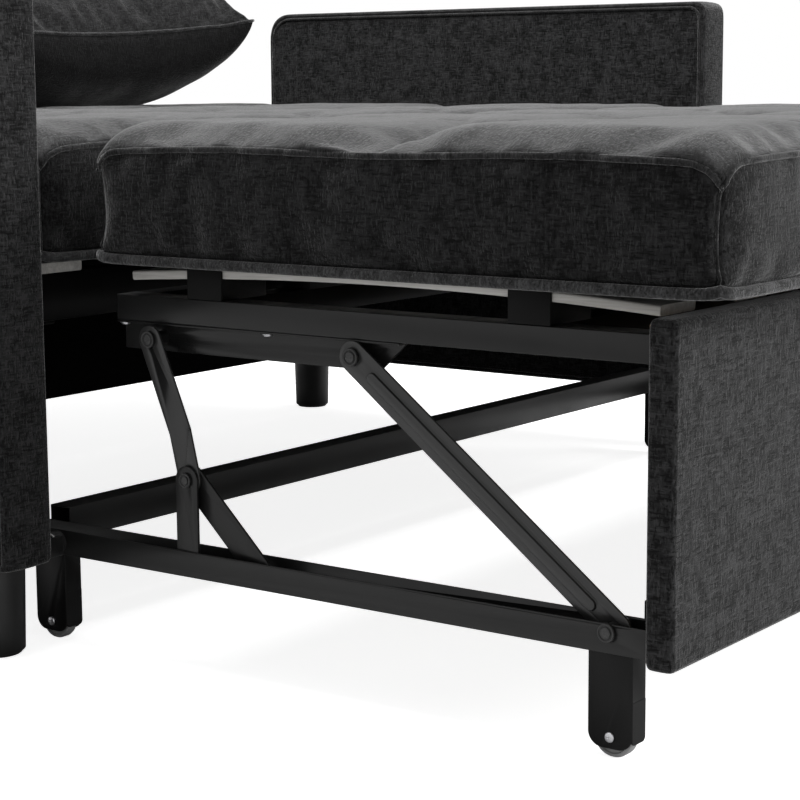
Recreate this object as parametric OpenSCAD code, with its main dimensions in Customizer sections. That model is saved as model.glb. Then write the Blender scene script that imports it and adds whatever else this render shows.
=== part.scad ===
// Pull-out sofa bed, with its bed frame rolled out, the sprung platform raised
// and the back lowered flat.
// X runs across the seat, Y from the front towards the back, Z up from the floor.
// The origin lies on the floor, under the middle of the open bed.

/* [Arms and legs] */
// Clear width between the two arms
inner_w = 1205; // [1000:1:1600]
// Thickness of an arm over its upholstery
arm_t = 57.5; // [55:0.5:90]
// How far the arms reach behind the seat cushion
arm_tail = 85; // [70:1:120]
// Height of the arm tops above the floor
arm_top = 603; // [560:1:680]
// Height of the arm bottoms above the floor
arm_bottom = 82; // [60:1:82]
// Thickness of the padding and cloth over an arm
arm_pad_t = 12; // [6:1:12]
// Radius of the upper rear corner of an arm
arm_rear_r = 34; // [20:1:60]
// Radius of the upper front corner of an arm
arm_front_r = 16; // [13:1:20]
// Diameter of a leg at its top
leg_top_d = 54; // [40:1:54]
// Diameter of a leg at its foot
leg_foot_d = 50; // [30:1:54]

/* [Cushions] */
// Length of the pull-out mattress
mattress_l = 595; // [580:1:610]
// Length of the seat cushion
seat_l = 646; // [620:1:660]
// Length of the back cushion
back_l = 476; // [440:1:560]
// Free gap between the mattress and the seat cushion
stow_gap = 69; // [66:1:80]
// Free gap between the seat cushion and the back cushion
hinge_gap = 14; // [12:1:30]
// Height of the sewn side band of every cushion
band_h = 86; // [76:1:100]
// Depth of the bottom cover below its seam
hem_h = 6; // [4:1:10]
// Height of the crown above the upper seam
crown_h = 22; // [14:1:26]
// Depth of the sewn tufting lines
tuft_d = 12; // [3:1:14]
// Height of the throw pillow
pillow_h = 230; // [120:1:240]
// Side of the throw pillow
pillow_w = 430; // [380:1:480]

/* [Pull-out frame] */
// Height of the underside of the lower rails
rail_z = 82.5; // [80:0.5:86]
// Width of a lower rail, an open channel
rail_w = 30; // [30:0.5:34]
// Height of a lower rail
rail_h = 22.5; // [21:0.5:23]
// Wall of the lower rails
rail_wall = 2; // [1.5:0.1:2]
// How far the lower rails reach in behind the arm fronts
rail_reach = 59; // [50:1:65]
// Height of the front panel
panel_h = 256; // [200:1:260]
// Thickness of the front panel over its cloth
panel_t = 24; // [20:1:28]
// Radius of a castor wheel
wheel_r = 17; // [14:0.5:20]
// Width of a castor wheel
wheel_w = 12; // [8:0.5:13]
// Width of a castor fork, front to back
fork_l = 38; // [34:0.5:44]

/* [Lifting linkage] */
// Distance between the two pivots of a front link
link_l = 306; // [296:1:310]
// Slope of a raised front link above the horizontal, in degrees
link_angle = 37.33; // [36.5:0.01:38]
// Width of the links
link_w = 26; // [22:1:26]
// Diameter of the pivot pins
pivot_d = 8; // [6:0.5:9]
// Section height of the upper rails
upper_rail_h = 22.5; // [18:0.5:24]
// Section width of the upper rails
upper_rail_w = 25; // [20:0.5:30]

/* [Hidden] */

// Overrun of cuts past the faces that they open
cut = 1;
// Free play around a pivot pin, on the radius
pin_play = 0.05;
// Gap between a soft piece and what it rests on
soft_gap = 0.3;
// Gap between plates that slide past each other
plate_gap = 0.5;
// Facets of a full circle
$fn = 48;
// Facets of a full circle on the long flat bow of a slat
bow_fn = 720;

// Places along the bed
bed_l = mattress_l + stow_gap + seat_l + hinge_gap + back_l;
mattress_y0 = -bed_l / 2;
mattress_y1 = mattress_y0 + mattress_l;
seat_y0 = mattress_y1 + stow_gap;
seat_y1 = seat_y0 + seat_l;
back_y0 = seat_y1 + hinge_gap;
back_y1 = back_y0 + back_l;
// How far the seat cushion stands behind the arm fronts
seat_recess = 14;
arm_y0 = seat_y0 - seat_recess;
arm_y1 = seat_y1 + arm_tail;

// Arms
arm_x = inner_w / 2;
arm_mid_x = arm_x + arm_t / 2;
board_t = 20;
cover_t = 5;

// Legs, with the studs that screw into the arms
leg_stud_d = 8;
leg_stud_l = 30;
leg_front_inset = 45;
leg_rear_inset = 52;
leg_front_y = arm_y0 + leg_front_inset;
leg_rear_y = arm_y1 - leg_rear_inset;

// Lower rails
rail_inset = 25;
rail_x = arm_x - rail_inset;
rail_in_x = rail_x - rail_w;
rail_mid_x = rail_x - rail_w / 2;
wall_x = rail_x - rail_wall;
rail_floor_z = rail_z + rail_wall;
rail_top = rail_z + rail_h;

// Front panel
panel_setback = 35;
panel_gap = 5;
panel_w = inner_w - 2 * panel_gap;
panel_drop = 2.5;
panel_z = rail_z - panel_drop;
panel_y0 = mattress_y0 + panel_setback;
panel_y1 = panel_y0 + panel_t;
panel_corner_r = 6;
rail_y0 = panel_y1;
rail_y1 = arm_y0 + rail_reach;
bracket_t = 3;
bracket_w = 20;
bracket_foot = 20;
bracket_h = 42;
upper_bracket_h = 40;
upper_bracket_rise = 160;
upper_bracket_z = panel_z + upper_bracket_rise;

// Cross tubes of the lower frame
tube_w = 25;
tube_h = 30;
tube_wall = 1.5;
tube_lift = 6;
front_tube_gap = 2;
tube_z = rail_z + tube_lift;

// Castors
fork_w = 20;
fork_t = 2;
fork_x = rail_mid_x;
fork_front_inset = 41;
fork_rear_inset = 23;
fork_front_y = rail_y0 + fork_front_inset;
fork_rear_y = rail_y1 - fork_rear_inset;
fork_bottom = 8;
fork_corner_r = 12;
fork_web_gap = 6;
fork_web_z = 2 * wheel_r + fork_web_gap;
tread_r = 2.5;
hub_d = 14;
hub_step = 1;
hub_w = wheel_w + 2 * hub_step;
axle_d = 6;
axle_head_d = 11;
axle_head_t = 2;

// Rubber buffers on the lower rails, and the stops on the arms that they meet
buffer_d = 20;
buffer_t = 12;
buffer_inset = 40;
buffer_y = rail_y1 - buffer_inset;
stop_t = 3;
stop_gap = 0.3;
stop_w = 18;

// Lifting linkage, plates in their planes from the outside in
link_t = 3;
bead_h = 3;
bead_w = 9;
brace_t = 3;
link_plate_t = 2.5;
flange_t = 2;
flange_w = 12.5;
rivet_d = 8;
rivet_head_d = 13;
rivet_head_t = 2;
post_x = wall_x - link_t;
rear_arm_x = post_x - plate_gap - link_t;
brace_x = rear_arm_x - plate_gap - brace_t;
flange_x = brace_x - rivet_head_t - 2 * plate_gap;
link_x = flange_x + plate_gap;
link_plate_x = flange_x - flange_w + link_plate_t;

// Pivots, as [y, z]: A and C of the front link, E and B of the rear arm
pivot_a_inset = 41;
pivot_a_rise = 16;
pivot_a = [rail_y0 + pivot_a_inset, rail_z + pivot_a_rise];
pivot_c = pivot_a + link_l * [cos(link_angle), sin(link_angle)];
// Travel of the platform as the front links come down to the horizontal
fold_back = link_l * (1 - cos(link_angle));
fold_drop = link_l * sin(link_angle);
rear_pivot_span = 213.8;
pivot_e = pivot_c + [rear_pivot_span, 0];
// B is as far from the raised rear pivot as from the folded one
fold_mid = pivot_e + [fold_back, -fold_drop] / 2;
post_lead = 41.9;
pivot_b_y = pivot_e[0] - post_lead;
pivot_b = [pivot_b_y, fold_mid[1] + (pivot_b_y - fold_mid[0]) * fold_back / fold_drop];
// Knee of the rear arm, as shares of its length and of its width
knee_share = 0.67;
knee_offset_share = 0.17;
arm_strap_w = link_w - 2;
post_w = 24;
brace_w = 25;
brace_reach = 72;
collar_d = 12;
pivot_head_d = 15;
pivot_head_t = 2.5;

// Platform
upper_rail_x = flange_x;
upper_rail_in_x = upper_rail_x - upper_rail_w;
upper_rail_z = pivot_c[1] + link_w / 2 + plate_gap;
upper_rail_top = upper_rail_z + upper_rail_h;
upper_rail_lead = 7;
upper_rail_tail = 8;
upper_rail_y0 = panel_y1 + upper_rail_lead;
upper_rail_y1 = mattress_y1 + upper_rail_tail;
link_plate_drop = 12;
link_plate_lead = 18;
link_plate_y0 = pivot_c[0] - link_plate_lead;
link_plate_y1 = upper_rail_y1;
plate_screw_d = 5;
plate_screw_head_d = 8;
plate_screw_head_t = 2.5;
plate_screw_inset = 6;
plate_screw_pitch = 160;
plate_screw_x = (link_plate_x + flange_x) / 2;
plate_screw_ys = [link_plate_y1 - plate_screw_inset - plate_screw_pitch, link_plate_y1 - plate_screw_inset];
slat_w = 53;
slat_t = 8;
slat_n = 10;
slat_edge = 38;
slat_lead = 10;
slat_tail = 9;
slat_y0 = panel_y1 + slat_lead;
slat_y1 = mattress_y1 - slat_tail;
slat_mid_y = (slat_y0 + slat_y1) / 2;
// Rise of a slat's middle above its ends
slat_rise = 9;
slat_clear = 12.5;
slat_end_z = upper_rail_top + slat_clear;
slat_top_z = slat_end_z + slat_rise + slat_t;
slat_r = pow(slat_y1 - slat_y0, 2) / (8 * slat_rise) + slat_rise / 2;
holder_l = 38;
holder_wall = 3;
holder_front_inset = 110;
holder_rear_inset = 84;
holder_front_y = slat_y0 + holder_front_inset;
holder_rear_y = slat_y1 - holder_rear_inset;

// Cushions
mattress_w = inner_w - 2 * panel_gap;
mattress_z = slat_top_z + soft_gap;
seam_z = mattress_z + hem_h + band_h;
seat_side_gap = 10.5;
seat_w = inner_w - 2 * seat_side_gap;
seat_drop = 5;
seat_z = mattress_z - seat_drop;
corner_r = 16;
side_draw = 5;
corner_dip = 10;
edge_roll_w = 75;
crease_w = 46;
column_n = 5;
row_n = 2;
column_cells = 6;
row_cells = 7;

// Seat frame
seat_tube_w = 30;
seat_tube_h = 42;
seat_tube_inset = 6;
seat_slat_t = 9;
seat_slat_n = 9;
seat_slat_w = 55;
seat_frame_top = seat_z - soft_gap - seat_slat_t;
seat_frame_z = seat_frame_top - seat_tube_h;
seat_front_tube_y = seat_y0 + seat_tube_inset;
seat_rear_tube_y = seat_y1 - seat_tube_inset - seat_tube_w;
angle_leg = 30;
angle_t = 3;
angle_z0 = seat_frame_z - angle_t;
bolt_d = 8;
bolt_l = 30;
bolt_head_d = 14;
bolt_head_t = 4;
rear_board_gap = 40;
rear_board_y0 = seat_y1 + rear_board_gap;
rear_board_z1 = seat_frame_z + seat_tube_inset;

// Reclining back
recliner_t = 3;
recliner_w = 34;
recliner_rise = 6;
pivot_r = [seat_y1 + hinge_gap / 2, seam_z + recliner_rise];
recliner_fixed_x = arm_x - recliner_t;
recliner_moving_x = recliner_fixed_x - plate_gap - recliner_t;
recliner_pin_d = 10;
recliner_head_d = 20;
recliner_head_t = 2;
recliner_reach = 92;
recliner_bolt_shares = [0.45, 0.8];
angle_bolt_shares = [0.18, 0.5, 0.82];
recliner_bolt_places = [for (share = recliner_bolt_shares) pivot_r - [0, share * recliner_reach]];
angle_bolt_places = [for (share = angle_bolt_shares) [seat_y0 + share * seat_l, angle_z0 + angle_leg / 2]];
frame_bolt_places = concat(recliner_bolt_places, angle_bolt_places);
back_tube = 24;
back_tube_front = 6;
back_tube_rear = 12;
back_tube_z = seat_z - soft_gap - back_tube;
back_tube_y0 = back_y0 + back_tube_front;
back_tube_y1 = back_y1 - back_tube_rear;
back_shell_t = 12;
back_shell_r = 5;

// Throw pillow, tipped up on its right side
pillow_x = 292;
pillow_inset = 238;
pillow_y = back_y0 + pillow_inset;
pillow_tip = -3;
pillow_turn = -6;
pillow_pinch_share = 0.07;
// Powers that shape the pillow's two faces; the lower one is the fuller
pillow_upper_power = 0.5;
pillow_lower_power = 0.27;
pillow_cells = 18;
pillow_rest_z = seam_z + crown_h + soft_gap;
pillow_mid_z = pillow_rest_z + pillow_h / 2;

cloth = [0.13, 0.13, 0.14];
steel = [0.09, 0.09, 0.10];
birch = [0.66, 0.65, 0.63];
plywood = [0.72, 0.60, 0.44];
black = [0.05, 0.05, 0.05];
bright = [0.75, 0.75, 0.77];
nylon = [0.50, 0.50, 0.51];

// A block between two corners
module box(x0, x1, y0, y1, z0, z1) {
    translate([x0, y0, z0]) cube([x1 - x0, y1 - y0, z1 - z0]);
}

// A piece on the right and its mirror image on the left
module both_sides() {
    children();
    mirror([1, 0, 0]) children();
}

module on_side(side) {
    if (side == "left") mirror([1, 0, 0]) children();
    else children();
}

// Rectangular tubes along X and along Y, open at their ends
module tube_x(x1, y0, z0, w, h) {
    difference() {
        box(-x1, x1, y0, y0 + w, z0, z0 + h);
        box(-x1 - cut, x1 + cut, y0 + tube_wall, y0 + w - tube_wall, z0 + tube_wall, z0 + h - tube_wall);
    }
}

module tube_y(x0, y0, y1, z0, w, h) {
    difference() {
        box(x0, x0 + w, y0, y1, z0, z0 + h);
        box(x0 + tube_wall, x0 + w - tube_wall, y0 - cut, y1 + cut, z0 + tube_wall, z0 + h - tube_wall);
    }
}

// A round pin along X, from x0 to x1, centred on [y, z]
module pin(at, d, x0, x1) {
    translate([x0, at[0], at[1]]) rotate([0, 90, 0]) cylinder(d = d, h = x1 - x0);
}

// A flat outline in the YZ plane, made into a plate from x0 to x1
module plate(x0, x1) {
    translate([x0, 0, 0]) rotate([90, 0, 90]) linear_extrude(x1 - x0) children();
}

// A strap with round ends between two points of the YZ plane
module strap(p, q, w) {
    translate(p) rotate(atan2(q[1] - p[1], q[0] - p[0])) {
        translate([0, -w / 2]) square([norm(q - p), w]);
        circle(d = w);
        translate([norm(q - p), 0]) circle(d = w);
    }
}

// A rectangle with round corners
module round_rect(x0, x1, y0, y1, r) {
    translate([x0 + r, y0]) square([x1 - x0 - 2 * r, y1 - y0]);
    translate([x0, y0 + r]) square([x1 - x0, y1 - y0 - 2 * r]);
    for (x = [x0 + r, x1 - r], y = [y0 + r, y1 - r])
        translate([x, y]) circle(r = r);
}

// Arms
module arm_outline(inset) {
    y0 = arm_y0 + inset;
    y1 = arm_y1 - inset;
    top = arm_top - inset;
    low = arm_bottom + inset;
    rear_r = arm_rear_r - inset;
    front_r = arm_front_r - inset;
    translate([y0, low]) square([y1 - y0, top - rear_r - low]);
    translate([y0 + front_r, low]) square([y1 - rear_r - y0 - front_r, top - low]);
    translate([y0, low]) square([rear_r, top - front_r - low]);
    translate([y0 + front_r, top - front_r]) circle(r = front_r);
    translate([y1 - rear_r, top - rear_r]) circle(r = rear_r);
}

module arm_holes() {
    for (y = [leg_front_y, leg_rear_y])
        translate([arm_mid_x, y, arm_bottom - cut]) cylinder(d = leg_stud_d, h = leg_stud_l + cut);
    for (at = frame_bolt_places)
        pin(at, bolt_d, arm_x - cut, arm_x + bolt_l);
}

module arm_frame(side) {
    color(plywood) on_side(side) difference() {
        plate(arm_x + arm_pad_t, arm_x + arm_t - arm_pad_t) arm_outline(arm_pad_t);
        arm_holes();
    }
}

module arm_cover(side) {
    color(cloth) on_side(side) difference() {
        plate(arm_x, arm_x + arm_t) arm_outline(0);
        plate(arm_x + arm_pad_t, arm_x + arm_t - arm_pad_t) arm_outline(arm_pad_t);
        arm_holes();
    }
}

module leg(side, y) {
    color(black) on_side(side) translate([arm_mid_x, y, 0]) {
        cylinder(d1 = leg_foot_d, d2 = leg_top_d, h = arm_bottom);
        translate([0, 0, arm_bottom]) cylinder(d = leg_stud_d, h = leg_stud_l);
    }
}

// Boarded rear of the base, between the arms, in a sleeve of cloth
module rear_board_box(grow) {
    box(-arm_x, arm_x, rear_board_y0 - grow, rear_board_y0 + board_t + grow,
        arm_bottom + cover_t - grow, rear_board_z1 - cover_t + grow);
}

module rear_board() {
    color(plywood) rear_board_box(0);
}

module rear_board_cover() {
    color(cloth) difference() {
        rear_board_box(cover_t);
        scale([2, 1, 1]) rear_board_box(0);
    }
}

// Seat frame on angle irons
module seat_tube(y) {
    color(steel) tube_x(arm_x - angle_t, y, seat_frame_z, seat_tube_w, seat_tube_h);
}

module seat_side_angles() {
    color(steel) both_sides() difference() {
        union() {
            box(arm_x - angle_t, arm_x, seat_front_tube_y, seat_y1, angle_z0, angle_z0 + angle_leg);
            box(arm_x - angle_leg, arm_x, seat_front_tube_y, seat_y1, angle_z0, seat_frame_z);
        }
        for (at = angle_bolt_places) pin(at, bolt_d, arm_x - angle_t - cut, arm_x + cut);
    }
}

// Bolts that hold the angle irons and, countersunk, the fixed recliner plates
module frame_bolts() {
    color(steel) both_sides() {
        for (at = angle_bolt_places) {
            pin(at, bolt_d, arm_x - angle_t, arm_x + bolt_l);
            pin(at, bolt_head_d, arm_x - angle_t - bolt_head_t, arm_x - angle_t);
        }
        for (at = recliner_bolt_places) pin(at, bolt_d, recliner_fixed_x, arm_x + bolt_l);
    }
}

module seat_slats() {
    pitch = (seat_w - seat_slat_w) / (seat_slat_n - 1);
    color(birch) for (i = [0 : seat_slat_n - 1])
        translate([-seat_w / 2 + i * pitch, seat_front_tube_y, seat_frame_top])
            cube([seat_slat_w, seat_rear_tube_y + seat_tube_w - seat_front_tube_y, seat_slat_t]);
}

// Stop plates in front of the buffers
module pull_out_stops() {
    y1 = buffer_y - buffer_d / 2 - stop_gap;
    color(steel) both_sides()
        box(arm_x - stop_w, arm_x, y1 - stop_t, y1, rail_floor_z, rail_floor_z + stop_w);
}

// Cushions: a sewn box with a rolled, tufted top, as one closed skin of triangles.
// A grid's shares lie closer together at its ends, where the skin turns.
end_share = 0.3;

function graded(n) =
    concat([0, end_share / n], [for (i = [1 : n - 1]) i / n], [1 - end_share / n, 1]);

// Rise of the top at a distance from an edge: a round that ends level
function edge_rise(d) = d >= edge_roll_w ? 1 : sqrt(1 - pow(1 - d / edge_roll_w, 2));

// Depth of a sewn line at a distance from it, from 1 down to 0
function crease(d) = d >= crease_w ? 0 : pow(1 - d / crease_w, 2);

function crease_all(share, n, size) =
    n < 2 ? 0 : max([for (i = [1 : n - 1]) crease(abs(share - i / n) * size)]);

// A square corner drawn in to a round
function drawn_in(d, e) = d * sqrt(1 - e * e / (2 * corner_r * corner_r));

function rounded(x, y, w, l) =
    let (dx = abs(x) - (w / 2 - corner_r), dy = abs(y) - (l / 2 - corner_r))
    dx <= 0 || dy <= 0 ? [x, y]
    : [sign(x) * (w / 2 - corner_r + drawn_in(dx, dy)),
       sign(y) * (l / 2 - corner_r + drawn_in(dy, dx))];

module cushion(w, l, z0) {
    us = graded(column_cells * column_n);
    vs = graded(row_cells * row_n);
    nu = len(us);
    nv = len(vs);
    rim = concat(
        [for (i = [0 : nu - 2]) [us[i], 0]],
        [for (j = [0 : nv - 2]) [1, vs[j]]],
        [for (i = [nu - 1 : -1 : 1]) [us[i], 1]],
        [for (j = [nv - 1 : -1 : 1]) [0, vs[j]]]);
    nr = len(rim);
    // Side rings from the bottom up: [inset, height]
    rings = [[hem_h / 2, z0], [0, z0 + hem_h], [side_draw, (seam_z + z0 + hem_h) / 2]];
    top_points = [for (u = us, v = vs)
        let (p = rounded((u - 0.5) * w, (v - 0.5) * l, w, l),
             rise = edge_rise(min(u, 1 - u) * w) * edge_rise(min(v, 1 - v) * l),
             sewn = max(crease_all(u, column_n, w), crease_all(v, row_n, l)),
             corner = pow(abs(2 * u - 1), 16) * pow(abs(2 * v - 1), 8))
        [p[0], p[1], seam_z - corner_dip * corner + rise * (crown_h - tuft_d * sewn)]];
    ring_points = [for (ring = rings, q = rim)
        let (p = rounded((q[0] - 0.5) * w, (q[1] - 0.5) * l, w, l))
        [p[0] * (1 - 2 * ring[0] / w), p[1] * (1 - 2 * ring[0] / l), ring[1]]];
    n_top = nu * nv;
    foot = n_top + len(rings) * nr;
    // Places of the rim's points in the top grid
    rim_top = concat(
        [for (i = [0 : nu - 2]) i * nv],
        [for (j = [0 : nv - 2]) (nu - 1) * nv + j],
        [for (i = [nu - 1 : -1 : 1]) i * nv + nv - 1],
        [for (j = [nv - 1 : -1 : 1]) j]);
    function at(i, j) = i * nv + j;
    function ring_at(k, m) = k == len(rings) ? rim_top[m % nr] : n_top + k * nr + m % nr;
    polyhedron(
        points = concat(top_points, ring_points, [[0, 0, z0]]),
        faces = concat(
            [for (i = [0 : nu - 2], j = [0 : nv - 2]) [at(i, j), at(i, j + 1), at(i + 1, j + 1)]],
            [for (i = [0 : nu - 2], j = [0 : nv - 2]) [at(i, j), at(i + 1, j + 1), at(i + 1, j)]],
            [for (k = [0 : len(rings) - 1], m = [0 : nr - 1])
                [ring_at(k, m), ring_at(k + 1, m), ring_at(k + 1, m + 1)]],
            [for (k = [0 : len(rings) - 1], m = [0 : nr - 1])
                [ring_at(k, m), ring_at(k + 1, m + 1), ring_at(k, m + 1)]],
            [for (m = [0 : nr - 1]) [foot, ring_at(0, m), ring_at(0, m + 1)]]));
}

module mattress() {
    color(cloth) translate([0, mattress_y0 + mattress_l / 2, 0])
        cushion(mattress_w, mattress_l, mattress_z);
}

module seat_cushion() {
    color(cloth) translate([0, seat_y0 + seat_l / 2, 0]) cushion(seat_w, seat_l, seat_z);
}

module back_cushion() {
    color(cloth) translate([0, back_y0 + back_l / 2, 0]) cushion(seat_w, back_l, seat_z);
}

// Throw pillow: two swelling faces that meet at a pinched seam, on a flattened belly.
// Swell of a face at shares a and b, which run from -1 to 1 across it.
function swell(a, b, power) = pow((1 - pow(abs(a), 2.4)) * (1 - pow(abs(b), 2.4)), power);

function pillow_point(a, b, side) =
    let (x = a * pillow_w / 2 * (1 - pillow_pinch_share * (1 - b * b)),
         y = b * pillow_w / 2 * (1 - pillow_pinch_share * (1 - a * a)),
         power = side > 0 ? pillow_upper_power : pillow_lower_power,
         z = side * pillow_h / 2 * swell(a, b, power),
         tipped_x = x * cos(pillow_tip) + z * sin(pillow_tip),
         tipped_z = z * cos(pillow_tip) - x * sin(pillow_tip))
    [pillow_x + tipped_x * cos(pillow_turn) - y * sin(pillow_turn),
     pillow_y + tipped_x * sin(pillow_turn) + y * cos(pillow_turn),
     max(pillow_rest_z, pillow_mid_z + tipped_z)];

// Every quad is split along the diagonal that runs towards the nearest corner of the pillow
function split_other(i, j, n) = (i < n / 2) != (j < n / 2);

function halves(q, other, reverse = false) =
    let (two = other ? [[q[0], q[1], q[3]], [q[1], q[2], q[3]]] : [[q[0], q[1], q[2]], [q[0], q[2], q[3]]])
    reverse ? [for (t = two) [t[0], t[2], t[1]]] : two;

module throw_pillow() {
    n = pillow_cells;
    shares = [for (i = [0 : n]) -cos(180 * i / n)];
    upper = [for (a = shares, b = shares) pillow_point(a, b, 1)];
    lower = [for (i = [1 : n - 1], j = [1 : n - 1]) pillow_point(shares[i], shares[j], -1)];
    function up(i, j) = i * (n + 1) + j;
    // The lower face shares the seam's points with the upper one
    function down(i, j) = i == 0 || j == 0 || i == n || j == n
        ? up(i, j) : (n + 1) * (n + 1) + (i - 1) * (n - 1) + j - 1;
    color(cloth) polyhedron(
        points = concat(upper, lower),
        faces = concat(
            [for (i = [0 : n - 1], j = [0 : n - 1])
                each halves([up(i, j), up(i, j + 1), up(i + 1, j + 1), up(i + 1, j)], split_other(i, j, n))],
            [for (i = [0 : n - 1], j = [0 : n - 1])
                each halves([down(i, j), down(i, j + 1), down(i + 1, j + 1), down(i + 1, j)],
                            split_other(i, j, n), true)]));
}

// Recliner: fixed plates on the arms, moving plates on the back frame
module recliner_fixed_plates() {
    color(steel) both_sides() difference() {
        plate(recliner_fixed_x, arm_x) strap(pivot_r, pivot_r - [0, recliner_reach], recliner_w);
        pin(pivot_r, recliner_pin_d, recliner_fixed_x - cut, arm_x + cut);
        for (at = recliner_bolt_places) pin(at, bolt_d, recliner_fixed_x - cut, arm_x + cut);
    }
}

module recliner_pins() {
    x0 = recliner_moving_x - plate_gap;
    color(bright) both_sides() {
        pin(pivot_r, recliner_pin_d, x0, arm_x);
        pin(pivot_r, recliner_head_d, x0 - recliner_head_t, x0);
    }
}

module recliner_moving_plates() {
    foot = [back_tube_y0 + back_tube / 2, back_tube_z + back_tube / 2];
    x1 = recliner_moving_x + recliner_t;
    color(steel) both_sides() difference() {
        plate(recliner_moving_x, x1) {
            strap(pivot_r, foot, recliner_w);
            strap(foot, foot + [2 * recliner_reach, 0], back_tube);
        }
        pin(pivot_r, recliner_pin_d + 2 * pin_play, recliner_moving_x - cut, x1 + cut);
    }
}

module back_side_tubes() {
    color(steel) both_sides()
        tube_y(recliner_moving_x - back_tube, back_tube_y0, back_tube_y1, back_tube_z,
            back_tube, back_tube);
}

module back_cross_tubes() {
    last_y = back_tube_y1 - back_tube;
    color(steel) for (y = [back_tube_y0, (back_tube_y0 + last_y) / 2, last_y])
        tube_x(recliner_moving_x - back_tube, y, back_tube_z, back_tube, back_tube);
}

// Upholstered board on the outside of the back, underneath when the back lies flat
module back_shell() {
    color(cloth) translate([0, 0, back_tube_z - back_shell_t]) linear_extrude(back_shell_t)
        round_rect(-recliner_moving_x, recliner_moving_x, back_tube_y0, back_tube_y1, back_shell_r);
}

// Lower rails: channels that open upwards and take the folded linkage
module lower_rail(side) {
    color(steel) on_side(side) difference() {
        box(rail_in_x, rail_x, rail_y0, rail_y1, rail_z, rail_top);
        box(rail_in_x + rail_wall, wall_x, rail_y0 - cut, rail_y1 + cut, rail_floor_z, rail_top + cut);
        pin(pivot_a, pivot_d, rail_in_x - cut, rail_x + cut);
    }
}

module lower_cross_tubes() {
    color(steel) for (y = [rail_y0 + front_tube_gap, rail_y1 - tube_w])
        tube_x(rail_in_x, y, tube_z, tube_w, tube_h);
}

// Front panel: a board in a cloth pocket that is open at the back
module panel_block(inset, y0, y1) {
    translate([0, y1, 0]) rotate([90, 0, 0]) linear_extrude(y1 - y0)
        round_rect(inset - panel_w / 2, panel_w / 2 - inset,
            panel_z + inset, panel_z + panel_h - inset, panel_corner_r - inset);
}

module front_panel_board() {
    color(plywood) panel_block(cover_t, panel_y0 + cover_t, panel_y1);
}

module front_panel_cover() {
    color(cloth) difference() {
        panel_block(0, panel_y0, panel_y1);
        panel_block(cover_t, panel_y0 + cover_t, panel_y1 + cut);
    }
}

// Angles that tie the panel to the rails, and plates higher up on the panel
module panel_brackets() {
    x0 = rail_mid_x - bracket_w / 2;
    x1 = rail_mid_x + bracket_w / 2;
    color(steel) both_sides() {
        box(x0, x1, rail_y0, rail_y0 + bracket_t, rail_floor_z, rail_floor_z + bracket_h);
        box(x0, x1, rail_y0, rail_y0 + bracket_foot, rail_floor_z, rail_floor_z + bracket_t);
        box(x0, x1, rail_y0, rail_y0 + bracket_t, upper_bracket_z, upper_bracket_z + upper_bracket_h);
    }
}

// Castors: a bent fork under the rail, with a web on its front side
module fork_outline(y) {
    y0 = y - fork_l / 2;
    y1 = y + fork_l / 2;
    corner_z = fork_bottom + fork_corner_r;
    translate([y0, corner_z]) square([fork_l, rail_z - corner_z]);
    translate([y0 + fork_corner_r, fork_bottom]) square([fork_l - 2 * fork_corner_r, fork_corner_r]);
    for (corner_y = [y0 + fork_corner_r, y1 - fork_corner_r])
        translate([corner_y, corner_z]) circle(r = fork_corner_r);
}

module castor_fork(side, y) {
    x0 = fork_x - fork_w / 2;
    x1 = fork_x + fork_w / 2;
    y0 = y - fork_l / 2;
    color(steel) on_side(side) difference() {
        union() {
            for (x = [x0, x1 - fork_t]) plate(x, x + fork_t) fork_outline(y);
            box(x0, x1, y0, y0 + fork_l, rail_z - fork_t, rail_z);
            box(x0, x1, y0, y0 + fork_t, fork_web_z, rail_z);
        }
        pin([y, wheel_r], axle_d, x0 - cut, x1 + cut);
    }
}

// Half section of a wheel, from its axis out to its rounded tread
module wheel_section() {
    flat_r = wheel_r - tread_r;
    translate([0, -wheel_w / 2]) square([flat_r, wheel_w]);
    translate([0, tread_r - wheel_w / 2]) square([wheel_r, wheel_w - 2 * tread_r]);
    for (y = [tread_r - wheel_w / 2, wheel_w / 2 - tread_r]) translate([flat_r, y]) circle(r = tread_r);
}

module wheel(side, y) {
    color(nylon) on_side(side) translate([fork_x, y, wheel_r]) rotate([0, 90, 0]) difference() {
        union() {
            rotate_extrude() wheel_section();
            cylinder(d = hub_d, h = hub_w, center = true);
        }
        cylinder(d = axle_d + 2 * pin_play, h = hub_w + 2 * cut, center = true);
    }
}

module castor_axle_bolts() {
    x0 = fork_x - fork_w / 2;
    x1 = fork_x + fork_w / 2;
    color(bright) both_sides() for (y = [fork_front_y, fork_rear_y]) {
        pin([y, wheel_r], axle_d, x0, x1);
        pin([y, wheel_r], axle_head_d, x1, x1 + axle_head_t);
        pin([y, wheel_r], axle_head_d, x0 - axle_head_t, x0);
    }
}

module stop_buffers() {
    color(black) both_sides() pin([buffer_y, rail_z + rail_h / 2], buffer_d, rail_x, rail_x + buffer_t);
}

// Rear post and brace, which stand in the lower rail
module rear_posts() {
    color(steel) both_sides() difference() {
        plate(post_x, wall_x) {
            translate([pivot_b[0] - post_w / 2, rail_floor_z]) square([post_w, pivot_b[1] - rail_floor_z]);
            translate(pivot_b) circle(d = post_w);
        }
        pin(pivot_b, rivet_d, post_x - cut, wall_x + cut);
    }
}

module rear_braces() {
    foot = [pivot_b[0] - brace_reach, rail_floor_z + brace_w / 2];
    color(steel) both_sides() difference() {
        plate(brace_x, brace_x + brace_t) strap(foot, pivot_b, brace_w);
        pin(pivot_b, rivet_d, brace_x - cut, brace_x + brace_t + cut);
    }
}

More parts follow.
